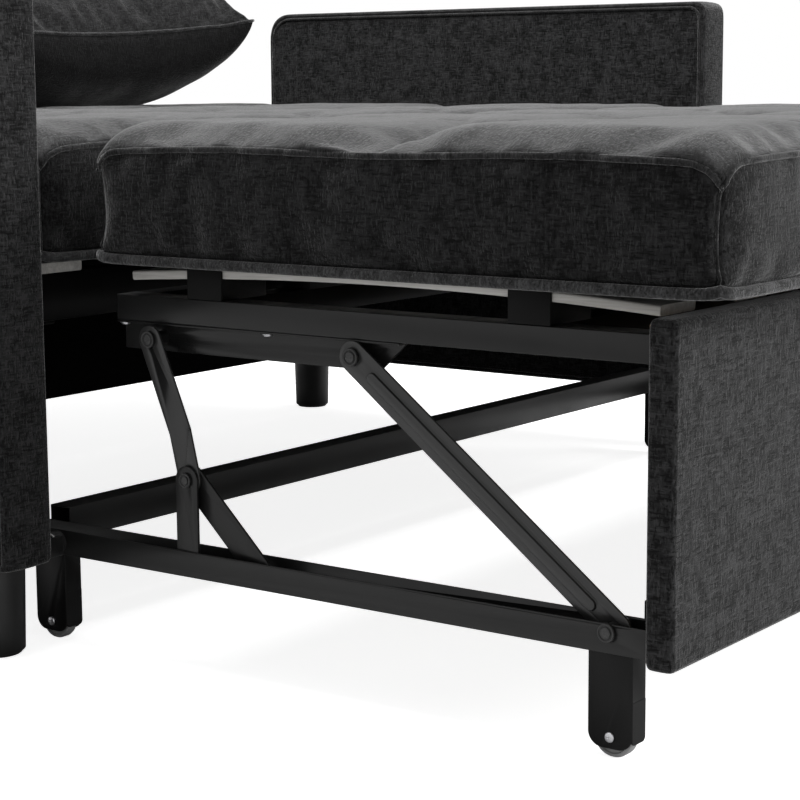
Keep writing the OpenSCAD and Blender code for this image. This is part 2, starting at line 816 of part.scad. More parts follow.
module post_rivets() {
    color(steel) both_sides() {
        pin(pivot_b, rivet_d, post_x, wall_x);
        pin(pivot_b, rivet_head_d, wall_x, wall_x + rivet_head_t);
        pin(pivot_b, rivet_d, brace_x, brace_x + brace_t);
        pin(pivot_b, rivet_head_d, brace_x - rivet_head_t, brace_x);
    }
}

// Pins through both walls of the lower rail, with collars on each side of the link
module lower_link_pins() {
    color(steel) both_sides() {
        pin(pivot_a, pivot_d, rail_in_x, rail_x);
        pin(pivot_a, collar_d, link_x + link_t + plate_gap, wall_x);
        pin(pivot_a, collar_d, rail_in_x + rail_wall, link_x - plate_gap);
        pin(pivot_a, pivot_head_d, rail_x, rail_x + pivot_head_t);
    }
}

// Pressed link with a bead along its outer face
module front_link(side) {
    bead_end = link_w * [cos(link_angle), sin(link_angle)];
    color(steel) on_side(side) difference() {
        union() {
            plate(link_x, link_x + link_t) strap(pivot_a, pivot_c, link_w);
            plate(link_x + link_t, link_x + link_t + bead_h)
                strap(pivot_a + bead_end, pivot_c - bead_end, bead_w);
        }
        for (at = [pivot_a, pivot_c])
            pin(at, pivot_d + 2 * pin_play, link_x - cut, link_x + link_t + cut);
    }
}

// Rear arm with a knee in it, hung from the platform
module rear_arms() {
    along = pivot_b - pivot_e;
    across = [along[1], -along[0]] / norm(along);
    knee = pivot_e + knee_share * along + knee_offset_share * link_w * across;
    x1 = rear_arm_x + link_t;
    color(steel) both_sides() difference() {
        plate(rear_arm_x, x1) {
            strap(pivot_e, knee, arm_strap_w);
            strap(knee, pivot_b, arm_strap_w);
        }
        pin(pivot_e, pivot_d + 2 * pin_play, rear_arm_x - cut, x1 + cut);
        pin(pivot_b, rivet_d, rear_arm_x - cut, x1 + cut);
    }
}

// Platform
module upper_rail(side) {
    color(steel) on_side(side)
        tube_y(upper_rail_in_x, upper_rail_y0, upper_rail_y1, upper_rail_z, upper_rail_w, upper_rail_h);
}

module platform_cross_tubes() {
    half = upper_rail_w / 2;
    mid_ys = [upper_rail_y0 + half, holder_front_y, holder_rear_y, upper_rail_y1 - half];
    color(steel) for (y = mid_ys)
        tube_x(upper_rail_in_x, y - half, upper_rail_z, upper_rail_w, upper_rail_h);
}

// Plate with a flange under the rail, which carries both upper pivots
module link_plates() {
    x1 = link_plate_x;
    x0 = link_plate_x - link_plate_t;
    low = pivot_c[1] - link_plate_drop;
    tip_y = link_plate_y0 - link_w;
    flange_z = upper_rail_z - flange_t;
    color(steel) both_sides() difference() {
        union() {
            plate(x0, x1) polygon([
                [link_plate_y0, low], [link_plate_y1, low], [link_plate_y1, upper_rail_z],
                [tip_y, upper_rail_z], [tip_y, flange_z]]);
            box(x1, flange_x, tip_y, link_plate_y1, flange_z, upper_rail_z);
        }
        for (at = [pivot_c, pivot_e]) pin(at, pivot_d, x0 - cut, x1 + cut);
        for (y = plate_screw_ys)
            translate([plate_screw_x, y, flange_z - cut])
                cylinder(d = plate_screw_d, h = flange_t + 2 * cut);
    }
}

module link_plate_screws() {
    color(bright) both_sides() for (y = plate_screw_ys)
        translate([plate_screw_x, y, upper_rail_z - flange_t]) {
            cylinder(d = plate_screw_d, h = flange_t);
            translate([0, 0, -plate_screw_head_t])
                cylinder(d = plate_screw_head_d, h = plate_screw_head_t);
        }
}

// A pin with a collar up to the link and a head outside it
module upper_link_pin(at, strap_x) {
    head_x = strap_x + link_t + plate_gap / 2;
    pin(at, pivot_d, link_plate_x - link_plate_t, head_x);
    pin(at, collar_d, link_plate_x, strap_x - plate_gap / 2);
    pin(at, pivot_head_d, head_x, head_x + pivot_head_t);
}

module upper_link_pins() {
    color(steel) both_sides() {
        upper_link_pin(pivot_c, link_x);
        upper_link_pin(pivot_e, rear_arm_x);
    }
}

// Bowed slat in the YZ plane, as a ring of large radius cut to length
module slat_outline() {
    intersection() {
        translate([slat_mid_y, slat_top_z - slat_r]) difference() {
            circle(r = slat_r, $fn = bow_fn);
            circle(r = slat_r - slat_t, $fn = bow_fn);
        }
        translate([slat_y0, slat_end_z - slat_rise]) square([slat_y1 - slat_y0, 3 * slat_rise + slat_t]);
    }
}

slat_pitch = (mattress_w - 2 * slat_edge - slat_w) / (slat_n - 1);
slat_x0 = slat_edge - mattress_w / 2;
slat_xs = [for (i = [0 : slat_n - 1]) slat_x0 + i * slat_pitch];

module platform_slats() {
    color(birch) for (x = slat_xs) plate(x, x + slat_w) slat_outline();
}

// Sleeves that stand on the rails and cross tubes and hold the slats
module slat_holders() {
    color(black) for (x = slat_xs, y = [holder_front_y, holder_rear_y]) difference() {
        box(x - holder_wall, x + slat_w + holder_wall, y - holder_l / 2, y + holder_l / 2,
            upper_rail_top, slat_top_z - holder_wall);
        plate(x, x + slat_w) slat_outline();
        box(x, x + slat_w, y - holder_l, y + holder_l, slat_top_z - slat_t, slat_top_z);
    }
}

arm_frame("left");  // left_arm_frame
arm_frame("right");  // right_arm_frame
arm_cover("left");  // left_arm_cover
arm_cover("right");  // right_arm_cover
leg("left", leg_front_y);  // leg_front_left
leg("right", leg_front_y);  // leg_front_right
leg("left", leg_rear_y);  // leg_rear_left
leg("right", leg_rear_y);  // leg_rear_right
rear_board();
rear_board_cover();
seat_tube(seat_front_tube_y);  // seat_front_tube
seat_tube(seat_rear_tube_y);  // seat_rear_tube
seat_side_angles();
seat_slats();
seat_cushion();
frame_bolts();
pull_out_stops();
recliner_fixed_plates();
recliner_pins();
recliner_moving_plates();
back_side_tubes();
back_cross_tubes();
back_shell();
back_cushion();
throw_pillow();
lower_rail("left");  // lower_rail_left
lower_rail("right");  // lower_rail_right
lower_cross_tubes();
front_panel_board();
front_panel_cover();
panel_brackets();
castor_fork("left", fork_front_y);  // castor_fork_front_left
castor_fork("right", fork_front_y);  // castor_fork_front_right
castor_fork("left", fork_rear_y);  // castor_fork_rear_left
castor_fork("right", fork_rear_y);  // castor_fork_rear_right
castor_axle_bolts();
wheel("left", fork_front_y);  // wheel_front_left
wheel("right", fork_front_y);  // wheel_front_right
wheel("left", fork_rear_y);  // wheel_rear_left
wheel("right", fork_rear_y);  // wheel_rear_right
stop_buffers();
rear_posts();
rear_braces();
post_rivets();
lower_link_pins();
front_link("left");  // front_link_left
front_link("right");  // front_link_right
upper_rail("left");  // upper_rail_left
upper_rail("right");  // upper_rail_right
platform_cross_tubes();
link_plates();
link_plate_screws();
upper_link_pins();
platform_slats();
slat_holders();
mattress();
rear_arms();
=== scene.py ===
import math

import bmesh
import bpy
import numpy as np
from mathutils import Matrix, Vector, noise


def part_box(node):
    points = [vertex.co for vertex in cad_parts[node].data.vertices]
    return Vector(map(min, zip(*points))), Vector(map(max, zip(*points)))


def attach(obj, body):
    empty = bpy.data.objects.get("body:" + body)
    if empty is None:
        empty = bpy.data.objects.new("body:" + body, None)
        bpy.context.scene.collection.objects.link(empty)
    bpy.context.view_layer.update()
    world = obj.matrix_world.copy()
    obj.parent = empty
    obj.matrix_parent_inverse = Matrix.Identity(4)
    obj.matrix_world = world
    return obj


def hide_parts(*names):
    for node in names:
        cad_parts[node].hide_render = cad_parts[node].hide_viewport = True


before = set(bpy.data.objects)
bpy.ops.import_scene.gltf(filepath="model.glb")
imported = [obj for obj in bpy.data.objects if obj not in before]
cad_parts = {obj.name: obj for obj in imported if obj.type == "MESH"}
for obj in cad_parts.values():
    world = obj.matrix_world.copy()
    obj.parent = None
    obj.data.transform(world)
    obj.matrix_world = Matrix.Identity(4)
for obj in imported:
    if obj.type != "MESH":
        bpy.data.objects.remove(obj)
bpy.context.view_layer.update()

MM = 0.001

# ---------- camera, light and floor

EYE = (-1.8475, -1.542, 0.5)
YAW, PITCH, ROLL = 0.63186492, 0.15403757, 0.00664104
LENS = 92.11
AMBIENT, FLOOR_GLOW = 0.31, 0.86
FLOOR_REACH = 30
# Name, place, aim, size and power of each lamp
LAMPS = (("front_softbox", (0.9, -3.9, 2.3), (0, -0.3, 0.3), 2.4, 165),
         ("top_softbox", (0.0, 0.2, 3.2), (0, 0, 0.3), 2.6, 72),
         ("arm_strip", (-0.42, 0.0, 1.9), (0.6, 0.05, 0.5), 0.7, 27))


def link_new(name, data):
    made = bpy.data.objects.new(name, data)
    bpy.context.scene.collection.objects.link(made)
    return made


def place_camera():
    level = math.cos(PITCH)
    forward = Vector((math.cos(YAW) * level, math.sin(YAW) * level, -math.sin(PITCH)))
    right = Vector((math.sin(YAW), -math.cos(YAW), 0))
    down = forward.cross(right)
    across = right * math.cos(ROLL) + down * math.sin(ROLL)
    up = right * math.sin(ROLL) - down * math.cos(ROLL)
    data = bpy.data.cameras.new("camera")
    data.sensor_width = 36
    data.lens = LENS
    camera = link_new("camera", data)
    turn = Matrix((across, up, -forward)).transposed().to_4x4()
    turn.translation = EYE
    camera.matrix_world = turn
    bpy.context.scene.camera = camera


def add_lamp(name, place, aim, size, power):
    data = bpy.data.lights.new(name, "AREA")
    data.shape = "SQUARE"
    data.size = size
    data.energy = power
    lamp = link_new(name, data)
    lamp.location = place
    lamp.rotation_euler = (Vector(aim) - Vector(place)).to_track_quat("-Z", "Y").to_euler()


# ---------- shader helpers


def add(tree, kind, inputs=None, **settings):
    """A node with its inputs set or linked."""
    made = tree.nodes.new(kind)
    for key, value in settings.items():
        setattr(made, key, value)
    for key, value in (inputs or {}).items():
        if isinstance(value, bpy.types.NodeSocket):
            tree.links.new(value, made.inputs[key])
        else:
            made.inputs[key].default_value = value
    return made


def new_material(name, **sockets):
    material = bpy.data.materials.new(name)
    material.use_nodes = True
    shader = material.node_tree.nodes["Principled BSDF"]
    for key, value in sockets.items():
        shader.inputs[key.replace("_", " ")].default_value = value
    return material, material.node_tree, shader


def grey(level, tint=0.0):
    return (level, level, level * (1 + tint), 1)


def stretched_noise(tree, stretch, scale, detail=2.0, roughness=0.55, distortion=0.0):
    """Noise on object coordinates, drawn out along the axes where stretch is small."""
    place = add(tree, "ShaderNodeTexCoord").outputs["Object"]
    drawn = add(tree, "ShaderNodeMapping", {"Vector": place, "Scale": stretch}).outputs["Vector"]
    return add(tree, "ShaderNodeTexNoise",
               {"Vector": drawn, "Scale": scale, "Detail": detail, "Roughness": roughness,
                "Distortion": distortion}).outputs["Fac"]


def shape(tree, kind, inputs=None, **settings):
    """The first output of a geometry node."""
    return add(tree, "GeometryNode" + kind, inputs, **settings).outputs[0]


def math_node(tree, operation, *values, clamp=False):
    return add(tree, "ShaderNodeMath", dict(enumerate(values)), operation=operation,
               use_clamp=clamp).outputs[0]


def spread(tree, value, low, high, to_low=0.0, to_high=1.0):
    return add(tree, "ShaderNodeMapRange",
               {"Value": value, "From Min": low, "From Max": high, "To Min": to_low,
                "To Max": to_high}).outputs["Result"]


def mix_colours(tree, share, first, second):
    made = add(tree, "ShaderNodeMix", data_type="RGBA")
    sockets = {s.identifier: s for s in made.inputs}
    for key, value in (("Factor_Float", share), ("A_Color", first), ("B_Color", second)):
        if isinstance(value, bpy.types.NodeSocket):
            tree.links.new(value, sockets[key])
        else:
            sockets[key].default_value = value
    return next(s for s in made.outputs if s.identifier == "Result_Color")


def colour_by(tree, shader, share, low, high):
    tree.links.new(mix_colours(tree, share, low, high), shader.inputs["Base Color"])


def roughen(tree, shader, share, low, high):
    tree.links.new(spread(tree, share, 0.3, 0.7, low, high), shader.inputs["Roughness"])


def add_bump(tree, shader, height, strength, distance):
    bump = add(tree, "ShaderNodeBump",
               {"Height": height, "Strength": strength, "Distance": distance})
    tree.links.new(bump.outputs["Normal"], shader.inputs["Normal"])


# ---------- finishes


def make_chenille(name, low, high, sheen, under=None, painted_top_light=None):
    """Slub yarns, crossed: pale and dark dashes over soft patches, with a sheen seen aslant.

    Where it faces up, the cloth can be lightened as painted top light; where the mesh marks an
    underside, it can be darkened as painted shade.
    """
    material, tree, shader = new_material(
        name, Roughness=0.92, Specular_IOR_Level=0.1, Sheen_Weight=sheen, Sheen_Roughness=0.36)
    shader.inputs["Sheen Tint"].default_value = grey(0.85)
    warp = stretched_noise(tree, (1, 1, 0.3), 520, 2, 0.6)
    weft_x = stretched_noise(tree, (0.17, 1, 1), 520, 2, 0.6)
    weft_y = stretched_noise(tree, (1, 0.17, 1), 520, 2, 0.6)
    patches = stretched_noise(tree, (1, 1, 0.8), 66, 3, 0.7)
    across = add(tree, "ShaderNodeAttribute", attribute_name="faces_x").outputs["Fac"]
    change = math_node(tree, "SUBTRACT", weft_y, weft_x)
    weft = math_node(tree, "MULTIPLY_ADD", across, change, weft_x)
    pale = spread(tree, math_node(tree, "MAXIMUM", warp, weft), 0.56, 0.7, 0.0, 0.65)
    dark = spread(tree, math_node(tree, "MINIMUM", warp, weft), 0.32, 0.45, -0.6, 0.0)
    blotch = spread(tree, patches, 0.3, 0.7, -0.34, 0.34)
    yarns = math_node(tree, "ADD", pale, dark)
    share = math_node(tree, "ADD", math_node(tree, "ADD", yarns, blotch), 0.4, clamp=True)
    colour = mix_colours(tree, share, grey(low), grey(high, 0.02))
    # Painted top light: a lighter colour where the cloth faces up.
    if painted_top_light is not None:
        up = add(tree, "ShaderNodeAttribute", attribute_name="painted_top_light_mask").outputs["Fac"]
        top_lit_colour = mix_colours(tree, share, grey(high * painted_top_light * 0.5), grey(high * painted_top_light, 0.02))
        colour = mix_colours(tree, up, colour, top_lit_colour)
    # Painted shade: the colour falls towards black on the marked underside.
    if under is not None:
        below = add(tree, "ShaderNodeAttribute", attribute_name="under").outputs["Fac"]
        shade = spread(tree, below, 0.0, 1.0, 0.0, 1 - under)
        colour = mix_colours(tree, shade, colour, grey(0.0))
    tree.links.new(colour, shader.inputs["Base Color"])
    add_bump(tree, shader, share, 0.5, 0.0009)
    return material


def make_powder_coat(name="black_powder_coat", low=0.007, high=0.014, specular=0.26):
    material, tree, shader = new_material(
        name, Roughness=0.36, Specular_IOR_Level=specular, Coat_Weight=0.06, Coat_Roughness=0.2)
    cloud = stretched_noise(tree, (1, 1, 1), 9, 3)
    grain = stretched_noise(tree, (1, 1, 1), 900, 2)
    colour_by(tree, shader, cloud, grey(low), grey(high))
    roughen(tree, shader, cloud, 0.27, 0.42)
    add_bump(tree, shader, grain, 0.12, 0.0004)
    return material


def make_zinc():
    material, tree, shader = new_material("bright_zinc", Metallic=1.0)
    cloud = stretched_noise(tree, (1, 1, 1), 300, 3)
    colour_by(tree, shader, cloud, grey(0.42, 0.03), grey(0.62, 0.03))
    roughen(tree, shader, cloud, 0.22, 0.4)
    return material


def make_veneer(name, pale, dark, along=(1, 0.03, 1)):
    """Straight wood grain that runs along Y."""
    material, tree, shader = new_material(name, Roughness=0.55, Specular_IOR_Level=0.3)
    grain = stretched_noise(tree, along, 210, 4, 0.6, 0.4)
    pores = stretched_noise(tree, along, 900, 2)
    both = math_node(tree, "ADD", math_node(tree, "MULTIPLY", grain, 0.7),
                     math_node(tree, "MULTIPLY", pores, 0.3))
    colour_by(tree, shader, spread(tree, both, 0.35, 0.65), dark, pale)
    roughen(tree, shader, both, 0.62, 0.48)
    add_bump(tree, shader, both, 0.2, 0.0004)
    return material


def make_moulded(name, low, high, roughness, grain_scale=700, specular=0.4):
    material, tree, shader = new_material(name, Roughness=roughness, Specular_IOR_Level=specular)
    cloud = stretched_noise(tree, (1, 1, 1), 40, 3)
    grain = stretched_noise(tree, (1, 1, 1), grain_scale, 2)
    colour_by(tree, shader, cloud, grey(low), grey(high))
    roughen(tree, shader, grain, roughness - 0.06, roughness + 0.06)
    add_bump(tree, shader, grain, 0.15, 0.0003)
    return material


CHENILLE = make_chenille("charcoal_chenille", 0.003, 0.034, 0.42)
# The cushions get painted top light on their upward faces.
CUSHION_CLOTH = make_chenille("cushion_chenille", 0.002, 0.024, 0.46, painted_top_light=3.0)
# The pillow gets painted shade on its underside.
PILLOW_CLOTH = make_chenille("pillow_chenille", 0.006, 0.026, 0.24, under=0.3)
WELT_CLOTH = make_chenille("charcoal_welt", 0.008, 0.038, 0.5)
# A lighter copy of the chenille for the hem bands: painted sheen.
SHEEN_LIT_HEM_CLOTH = make_chenille("charcoal_hem_painted_sheen", 0.013, 0.062, 0.5)
# Black lining cloth, darkened further as painted shade deep under the seat.
SHADED_LINING = make_chenille("black_lining_painted_shade", 0.0006, 0.0016, 0.02)
POWDER_COAT = make_powder_coat()
# A lighter, glossier copy of the powder coat: painted reflection on the links, rear arms and pin
# faces.
REFLECTION_LIT_COAT = make_powder_coat("link_coat_painted_reflection", 0.016, 0.03, 0.4)
FORK_COAT = make_powder_coat("fork_powder_coat", 0.005, 0.009, 0.1)
SHADE_COAT = make_powder_coat("shaded_powder_coat", 0.0015, 0.003, 0.05)
ZINC = make_zinc()
BIRCH = make_veneer("grey_birch", (0.50, 0.49, 0.47, 1), (0.33, 0.32, 0.30, 1))
PLYWOOD = make_veneer("plywood_board", (0.55, 0.40, 0.24, 1), (0.40, 0.27, 0.15, 1), (0.2, 0.2, 1))
LEG_LACQUER = make_moulded("black_leg_lacquer", 0.006, 0.011, 0.42, specular=0.35)
# A pale rim on the rubber buffers: painted highlight.
RIM_HIGHLIGHT = make_moulded("painted_rim_highlight", 0.45, 0.55, 0.4)
WHEEL_NYLON = make_moulded("grey_wheel_nylon", 0.26, 0.34, 0.5)
BLACK_RUBBER = make_moulded("black_rubber", 0.012, 0.02, 0.7, 500, 0.25)
BLACK_PLASTIC = make_moulded("black_holder_plastic", 0.002, 0.004, 0.6, 900, 0.12)
THREAD = make_moulded("charcoal_thread", 0.02, 0.032, 0.8, 900, 0.1)


def set_stage():
    """White world and floor for the camera and in gloss, plain grey light for the rest."""
    scene = bpy.context.scene
    scene.view_settings.view_transform = "Standard"
    world = bpy.data.worlds.new("studio")
    scene.world = world
    world.use_nodes = True
    tree = world.node_tree
    tree.nodes.clear()
    rays = add(tree, "ShaderNodeLightPath").outputs
    gloss = math_node(tree, "MAXIMUM", rays["Is Glossy Ray"], rays["Is Transmission Ray"])
    seen = math_node(tree, "MAXIMUM", rays["Is Camera Ray"], gloss)
    ambient, white = (add(tree, "ShaderNodeBackground", {"Color": grey(1.0), "Strength": strength})
                      for strength in (AMBIENT, 1.0))
    mixed = add(tree, "ShaderNodeMixShader", {0: seen, 1: ambient.outputs[0], 2: white.outputs[0]})
    add(tree, "ShaderNodeOutputWorld", {"Surface": mixed.outputs[0]})

    floor_paint, tree, shader = new_material("white_floor", Roughness=0.9, Specular_IOR_Level=0.1)
    tone = stretched_noise(tree, (1, 1, 1), 3, 2)
    colour_by(tree, shader, tone, grey(0.80), grey(0.82))
    dark, glow = (add(tree, "ShaderNodeEmission", {"Color": grey(level), "Strength": strength})
                  for level, strength in ((0.0, 0.0), (1.0, FLOOR_GLOW)))
    camera_glow = add(tree, "ShaderNodeMixShader", {
        0: add(tree, "ShaderNodeLightPath").outputs["Is Camera Ray"],
        1: dark.outputs[0], 2: glow.outputs[0]})
    total = add(tree, "ShaderNodeAddShader", {0: shader.outputs[0], 1: camera_glow.outputs[0]})
    out = next(n for n in tree.nodes if n.type == "OUTPUT_MATERIAL")
    tree.links.new(total.outputs[0], out.inputs["Surface"])
    mesh = bpy.data.meshes.new("floor")
    corners = ((-1, -1), (1, -1), (1, 1), (-1, 1))
    mesh.from_pydata([(x * FLOOR_REACH, y * FLOOR_REACH, 0) for x, y in corners], [],
                     [(0, 1, 2, 3)])
    mesh.materials.append(floor_paint)
    link_new("floor", mesh)

    for lamp in LAMPS:
        add_lamp(*lamp)


# ---------- mesh helpers


def link_mesh(name, mesh, material):
    mesh.materials.clear()
    mesh.materials.append(material)
    return link_new(name, mesh)


def mesh_of(name, bm):
    mesh = bpy.data.meshes.new(name)
    bm.to_mesh(mesh)
    bm.free()
    mesh.shade_smooth()
    return mesh


def mark_points(mesh, name, values):
    mark = mesh.attributes.new(name, "FLOAT", "POINT")
    mark.data.foreach_set("value", np.asarray(values, np.float32))


def from_arrays(name, points, faces, material):
    mesh = bpy.data.meshes.new(name)
    mesh.from_pydata(np.asarray(points, float).tolist(), [], [list(map(int, f)) for f in faces])
    bm = bmesh.new()
    bm.from_mesh(mesh)
    bmesh.ops.recalc_face_normals(bm, faces=bm.faces)
    bm.to_mesh(mesh)
    bm.free()
    mesh.shade_smooth()
    normals = np.empty(len(mesh.vertices) * 3, np.float32)
    mesh.vertices.foreach_get("normal", normals)
    nx, ny, nz = np.abs(normals.reshape(-1, 3)).T
    mark_points(mesh, "faces_x", (nx > ny) & (nz < 0.7))
    # How far each point faces up; the cushions' cloth uses it for painted top light.
    mark_points(mesh, "painted_top_light_mask", np.clip((normals[2::3] - 0.2) / 0.45, 0, 1))
    return link_mesh(name, mesh, material)


def subdivide(piece):
    rounding = piece.modifiers.new("rounding", "SUBSURF")
    rounding.levels = rounding.render_levels = 1


def settle(piece, body, slot, *nodes):
    """Hands a finished piece to its body and hides the nodes that it stands for; the slot is not
    used.
    """
    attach(piece, body)
    if nodes:
        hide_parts(*nodes)
    return piece


def bake(host, name, material):
    """The evaluated host as a plain mesh object of its own; the host goes."""
    graph = bpy.context.evaluated_depsgraph_get()
    mesh = bpy.data.meshes.new_from_object(host.evaluated_get(graph), depsgraph=graph)
    host.modifiers.clear()
    bpy.data.objects.remove(host)
    mesh.name = name
    return link_mesh(name, mesh, material)


def run_tree(name, tree, points, values, edges=(), aims=None):
    """Runs a node tree on loose points or a line of them and returns its plain mesh."""
    mesh = bpy.data.meshes.new(name + "_places")
    mesh.from_pydata([tuple(p) for p in points], list(edges), [])
    if aims is not None:
        attribute = mesh.attributes.new("aim", "FLOAT_VECTOR", "POINT")
        attribute.data.foreach_set("vector", np.asarray(aims, np.float32).ravel())
    host = link_new(name + "_host", mesh)
    modifier = host.modifiers.new("nodes", "NODES")
    modifier.node_group = tree
    for item in tree.interface.items_tree:
        if item.item_type == "SOCKET" and item.in_out == "INPUT" and item.name in values:
            modifier[item.identifier] = values[item.name]
    return bake(host, name, values["Material"])


def new_tree(name, *inputs):
    """An empty geometry tree with float inputs and a material, and its group nodes."""
    tree = bpy.data.node_groups.new(name, "GeometryNodeTree")
    for way in ("INPUT", "OUTPUT"):
        tree.interface.new_socket("Geometry", in_out=way, socket_type="NodeSocketGeometry")
    for key in inputs:
        tree.interface.new_socket(key, in_out="INPUT", socket_type="NodeSocketFloat")
    tree.interface.new_socket("Material", in_out="INPUT", socket_type="NodeSocketMaterial")
    return tree, tree.nodes.new("NodeGroupInput").outputs, tree.nodes.new("NodeGroupOutput").inputs


def vector(tree, x, y, z):
    return add(tree, "ShaderNodeCombineXYZ", {"X": x, "Y": y, "Z": z}).outputs[0]


def aligned(tree, aim, axis):
    """A turn that points the axis along aim."""
    return add(tree, "FunctionNodeAlignRotationToVector", {"Vector": aim}, axis=axis).outputs[0]


def join(tree, *parts):
    joined = add(tree, "GeometryNodeJoinGeometry")
    for part in parts:
        tree.links.new(part, joined.inputs[0])
    return joined.outputs[0]


def close_tree(tree, given, out, geometry):
    real = shape(tree, "RealizeInstances", {"Geometry": geometry})
    painted = shape(tree, "SetMaterial", {"Geometry": real, "Material": given["Material"]})
    tree.links.new(painted, out["Geometry"])
    return tree


# ---------- node trees for what repeats


def make_welt_tree(upright):
    """A cord of cloth along a line of points, or a band that stands up along a level line."""
    tree, given, out = new_tree("band" if upright else "welt", "Radius", "Height", "Step")
    line = shape(tree, "MeshToCurve", {"Mesh": given["Geometry"]})
    even = shape(tree, "ResampleCurve", {"Curve": line, "Length": given["Step"]}, mode="LENGTH")
    if upright:
        even = shape(tree, "SetCurveNormal", {"Curve": even}, mode="Z_UP")
    ring = shape(tree, "CurvePrimitiveCircle", {"Resolution": 12, "Radius": 1.0})
    size = vector(tree, given["Radius"], given["Height"], 1.0)
    section = shape(tree, "Transform", {"Geometry": ring, "Scale": size})
    tube = shape(tree, "CurveToMesh",
                 {"Curve": even, "Profile Curve": section, "Fill Caps": True})
    return close_tree(tree, given, out, shape(tree, "SetShadeSmooth", {"Geometry": tube}))


def make_stitch_tree():
    """A row of short stitches along a line of points."""
    tree, given, out = new_tree("stitches", "Pitch", "Length", "Radius")
    line = shape(tree, "MeshToCurve", {"Mesh": given["Geometry"]})
    even = shape(tree, "ResampleCurve", {"Curve": line, "Length": given["Pitch"]}, mode="LENGTH")
    bead = shape(tree, "MeshUVSphere", {"Segments": 8, "Rings": 6, "Radius": 1.0})
    bead = shape(tree, "SetShadeSmooth", {"Geometry": bead})
    half = math_node(tree, "MULTIPLY", given["Length"], 0.5)
    placed = shape(tree, "InstanceOnPoints",
                   {"Points": even, "Instance": bead,
                    "Rotation": aligned(tree, shape(tree, "InputTangent"), "X"),
                    "Scale": vector(tree, half, given["Radius"], given["Radius"])})
    return close_tree(tree, given, out, placed)


def make_slat_tree():
    """Bowed slats: a bowed line along Y, swept with a rounded section, at every point."""
    tree, given, out = new_tree("slats", "Length", "Width", "Thickness", "Rise", "Corner")
    end = vector(tree, 0.0, given["Length"], 0.0)
    line = shape(tree, "CurvePrimitiveLine", {"End": end})
    even = shape(tree, "ResampleCurve", {"Curve": line, "Count": 33})
    share = shape(tree, "SplineParameter")
    off = math_node(tree, "MULTIPLY_ADD", share, 2.0, -1.0)
    lift = math_node(tree, "SUBTRACT", 1.0, math_node(tree, "MULTIPLY", off, off))
    shift = vector(tree, 0.0, 0.0, math_node(tree, "MULTIPLY", lift, given["Rise"]))
    bowed = shape(tree, "SetPosition", {"Geometry": even, "Offset": shift})
    level = shape(tree, "SetCurveNormal", {"Curve": bowed}, mode="Z_UP")
    section = shape(tree, "CurvePrimitiveQuadrilateral",
                    {"Width": given["Width"], "Height": given["Thickness"]})
    eased = shape(tree, "FilletCurve",
                  {"Curve": section, "Count": 3, "Radius": given["Corner"]}, mode="POLY")
    strip = shape(tree, "CurveToMesh",
                  {"Curve": level, "Profile Curve": eased, "Fill Caps": True})
    placed = shape(tree, "InstanceOnPoints", {"Points": given["Geometry"], "Instance": strip})
    return close_tree(tree, given, out, placed)


def make_head_tree(name, ringed=False):
    """Domed heads with a cross recess on a flat rim, turned to each point's aim."""
    tree, given, out = new_tree(name, "Radius", "Height")
    rim = shape(tree, "MeshCylinder", {"Vertices": 28, "Radius": 1.0, "Depth": 0.35})
    rim = shape(tree, "Transform", {"Geometry": rim, "Translation": (0, 0, 0.175)})
    dome = shape(tree, "MeshUVSphere", {"Segments": 28, "Rings": 14, "Radius": 1.0})
    dome = shape(tree, "Transform", {"Geometry": dome, "Translation": (0, 0, 0.35),
                                     "Scale": (0.985, 0.985, 0.65)})
    dome = shape(tree, "SetShadeSmooth", {"Geometry": dome})
    bars = [shape(tree, "Transform", {"Geometry": shape(tree, "MeshCube", {"Size": size}),
                                      "Translation": (0, 0, 1.0)})
            for size in ((1.2, 0.3, 0.95), (0.3, 1.2, 0.95))]
    head = shape(tree, "MeshBoolean",
                 {"Mesh 1": join(tree, rim, dome), "Mesh 2": join(tree, *bars)},
                 operation="DIFFERENCE")
    if ringed:
        path, section = (shape(tree, "CurvePrimitiveCircle", {"Resolution": n, "Radius": radius})
                         for n, radius in ((40, 1.45), (8, 0.17)))
        ring = shape(tree, "CurveToMesh", {"Curve": path, "Profile Curve": section})
        ring = shape(tree, "Transform", {"Geometry": ring, "Scale": (1, 1, 2.6)})
        head = join(tree, head, shape(tree, "SetShadeSmooth", {"Geometry": ring}))
    aim = shape(tree, "InputNamedAttribute", {"Name": "aim"}, data_type="FLOAT_VECTOR")
    placed = shape(tree, "InstanceOnPoints",
                   {"Points": given["Geometry"], "Instance": head,
                    "Rotation": aligned(tree, aim, "Z"),
                    "Scale": vector(tree, given["Radius"], given["Radius"], given["Height"])})
    return close_tree(tree, given, out, placed)


WELTS = make_welt_tree(False)
BANDS = make_welt_tree(True)
STITCHES = make_stitch_tree()
SLATS = make_slat_tree()
CROSS_HEADS = make_head_tree("cross_heads")
PIN_FACES = make_head_tree("pin_faces", ringed=True)


def line_edges(n, closed):
    return [(i, i + 1) for i in range(n - 1)] + ([(n - 1, 0)] if closed else [])


def lay_welt(name, points, radius, body, closed=True, material=WELT_CLOTH, step=6 * MM,
             height=None):
    """A cord along the points, or a band where it is given a height."""
    values = {"Radius": radius, "Height": height or radius, "Step": step, "Material": material}
    cord = run_tree(name, BANDS if height else WELTS, points, values,
                    line_edges(len(points), closed))
    return settle(cord, body, "upholstery")


def lay_stitches(name, lines, body):
    points, edges = [], []
    for line in lines:
        edges += [(a + len(points), b + len(points)) for a, b in line_edges(len(line), False)]
        points += list(line)
    row = run_tree(name, STITCHES, points,
                   {"Pitch": 7 * MM, "Length": 4.8 * MM, "Radius": 0.7 * MM, "Material": THREAD},
                   edges)
    return settle(row, body, "upholstery")


# ---------- padded boxes


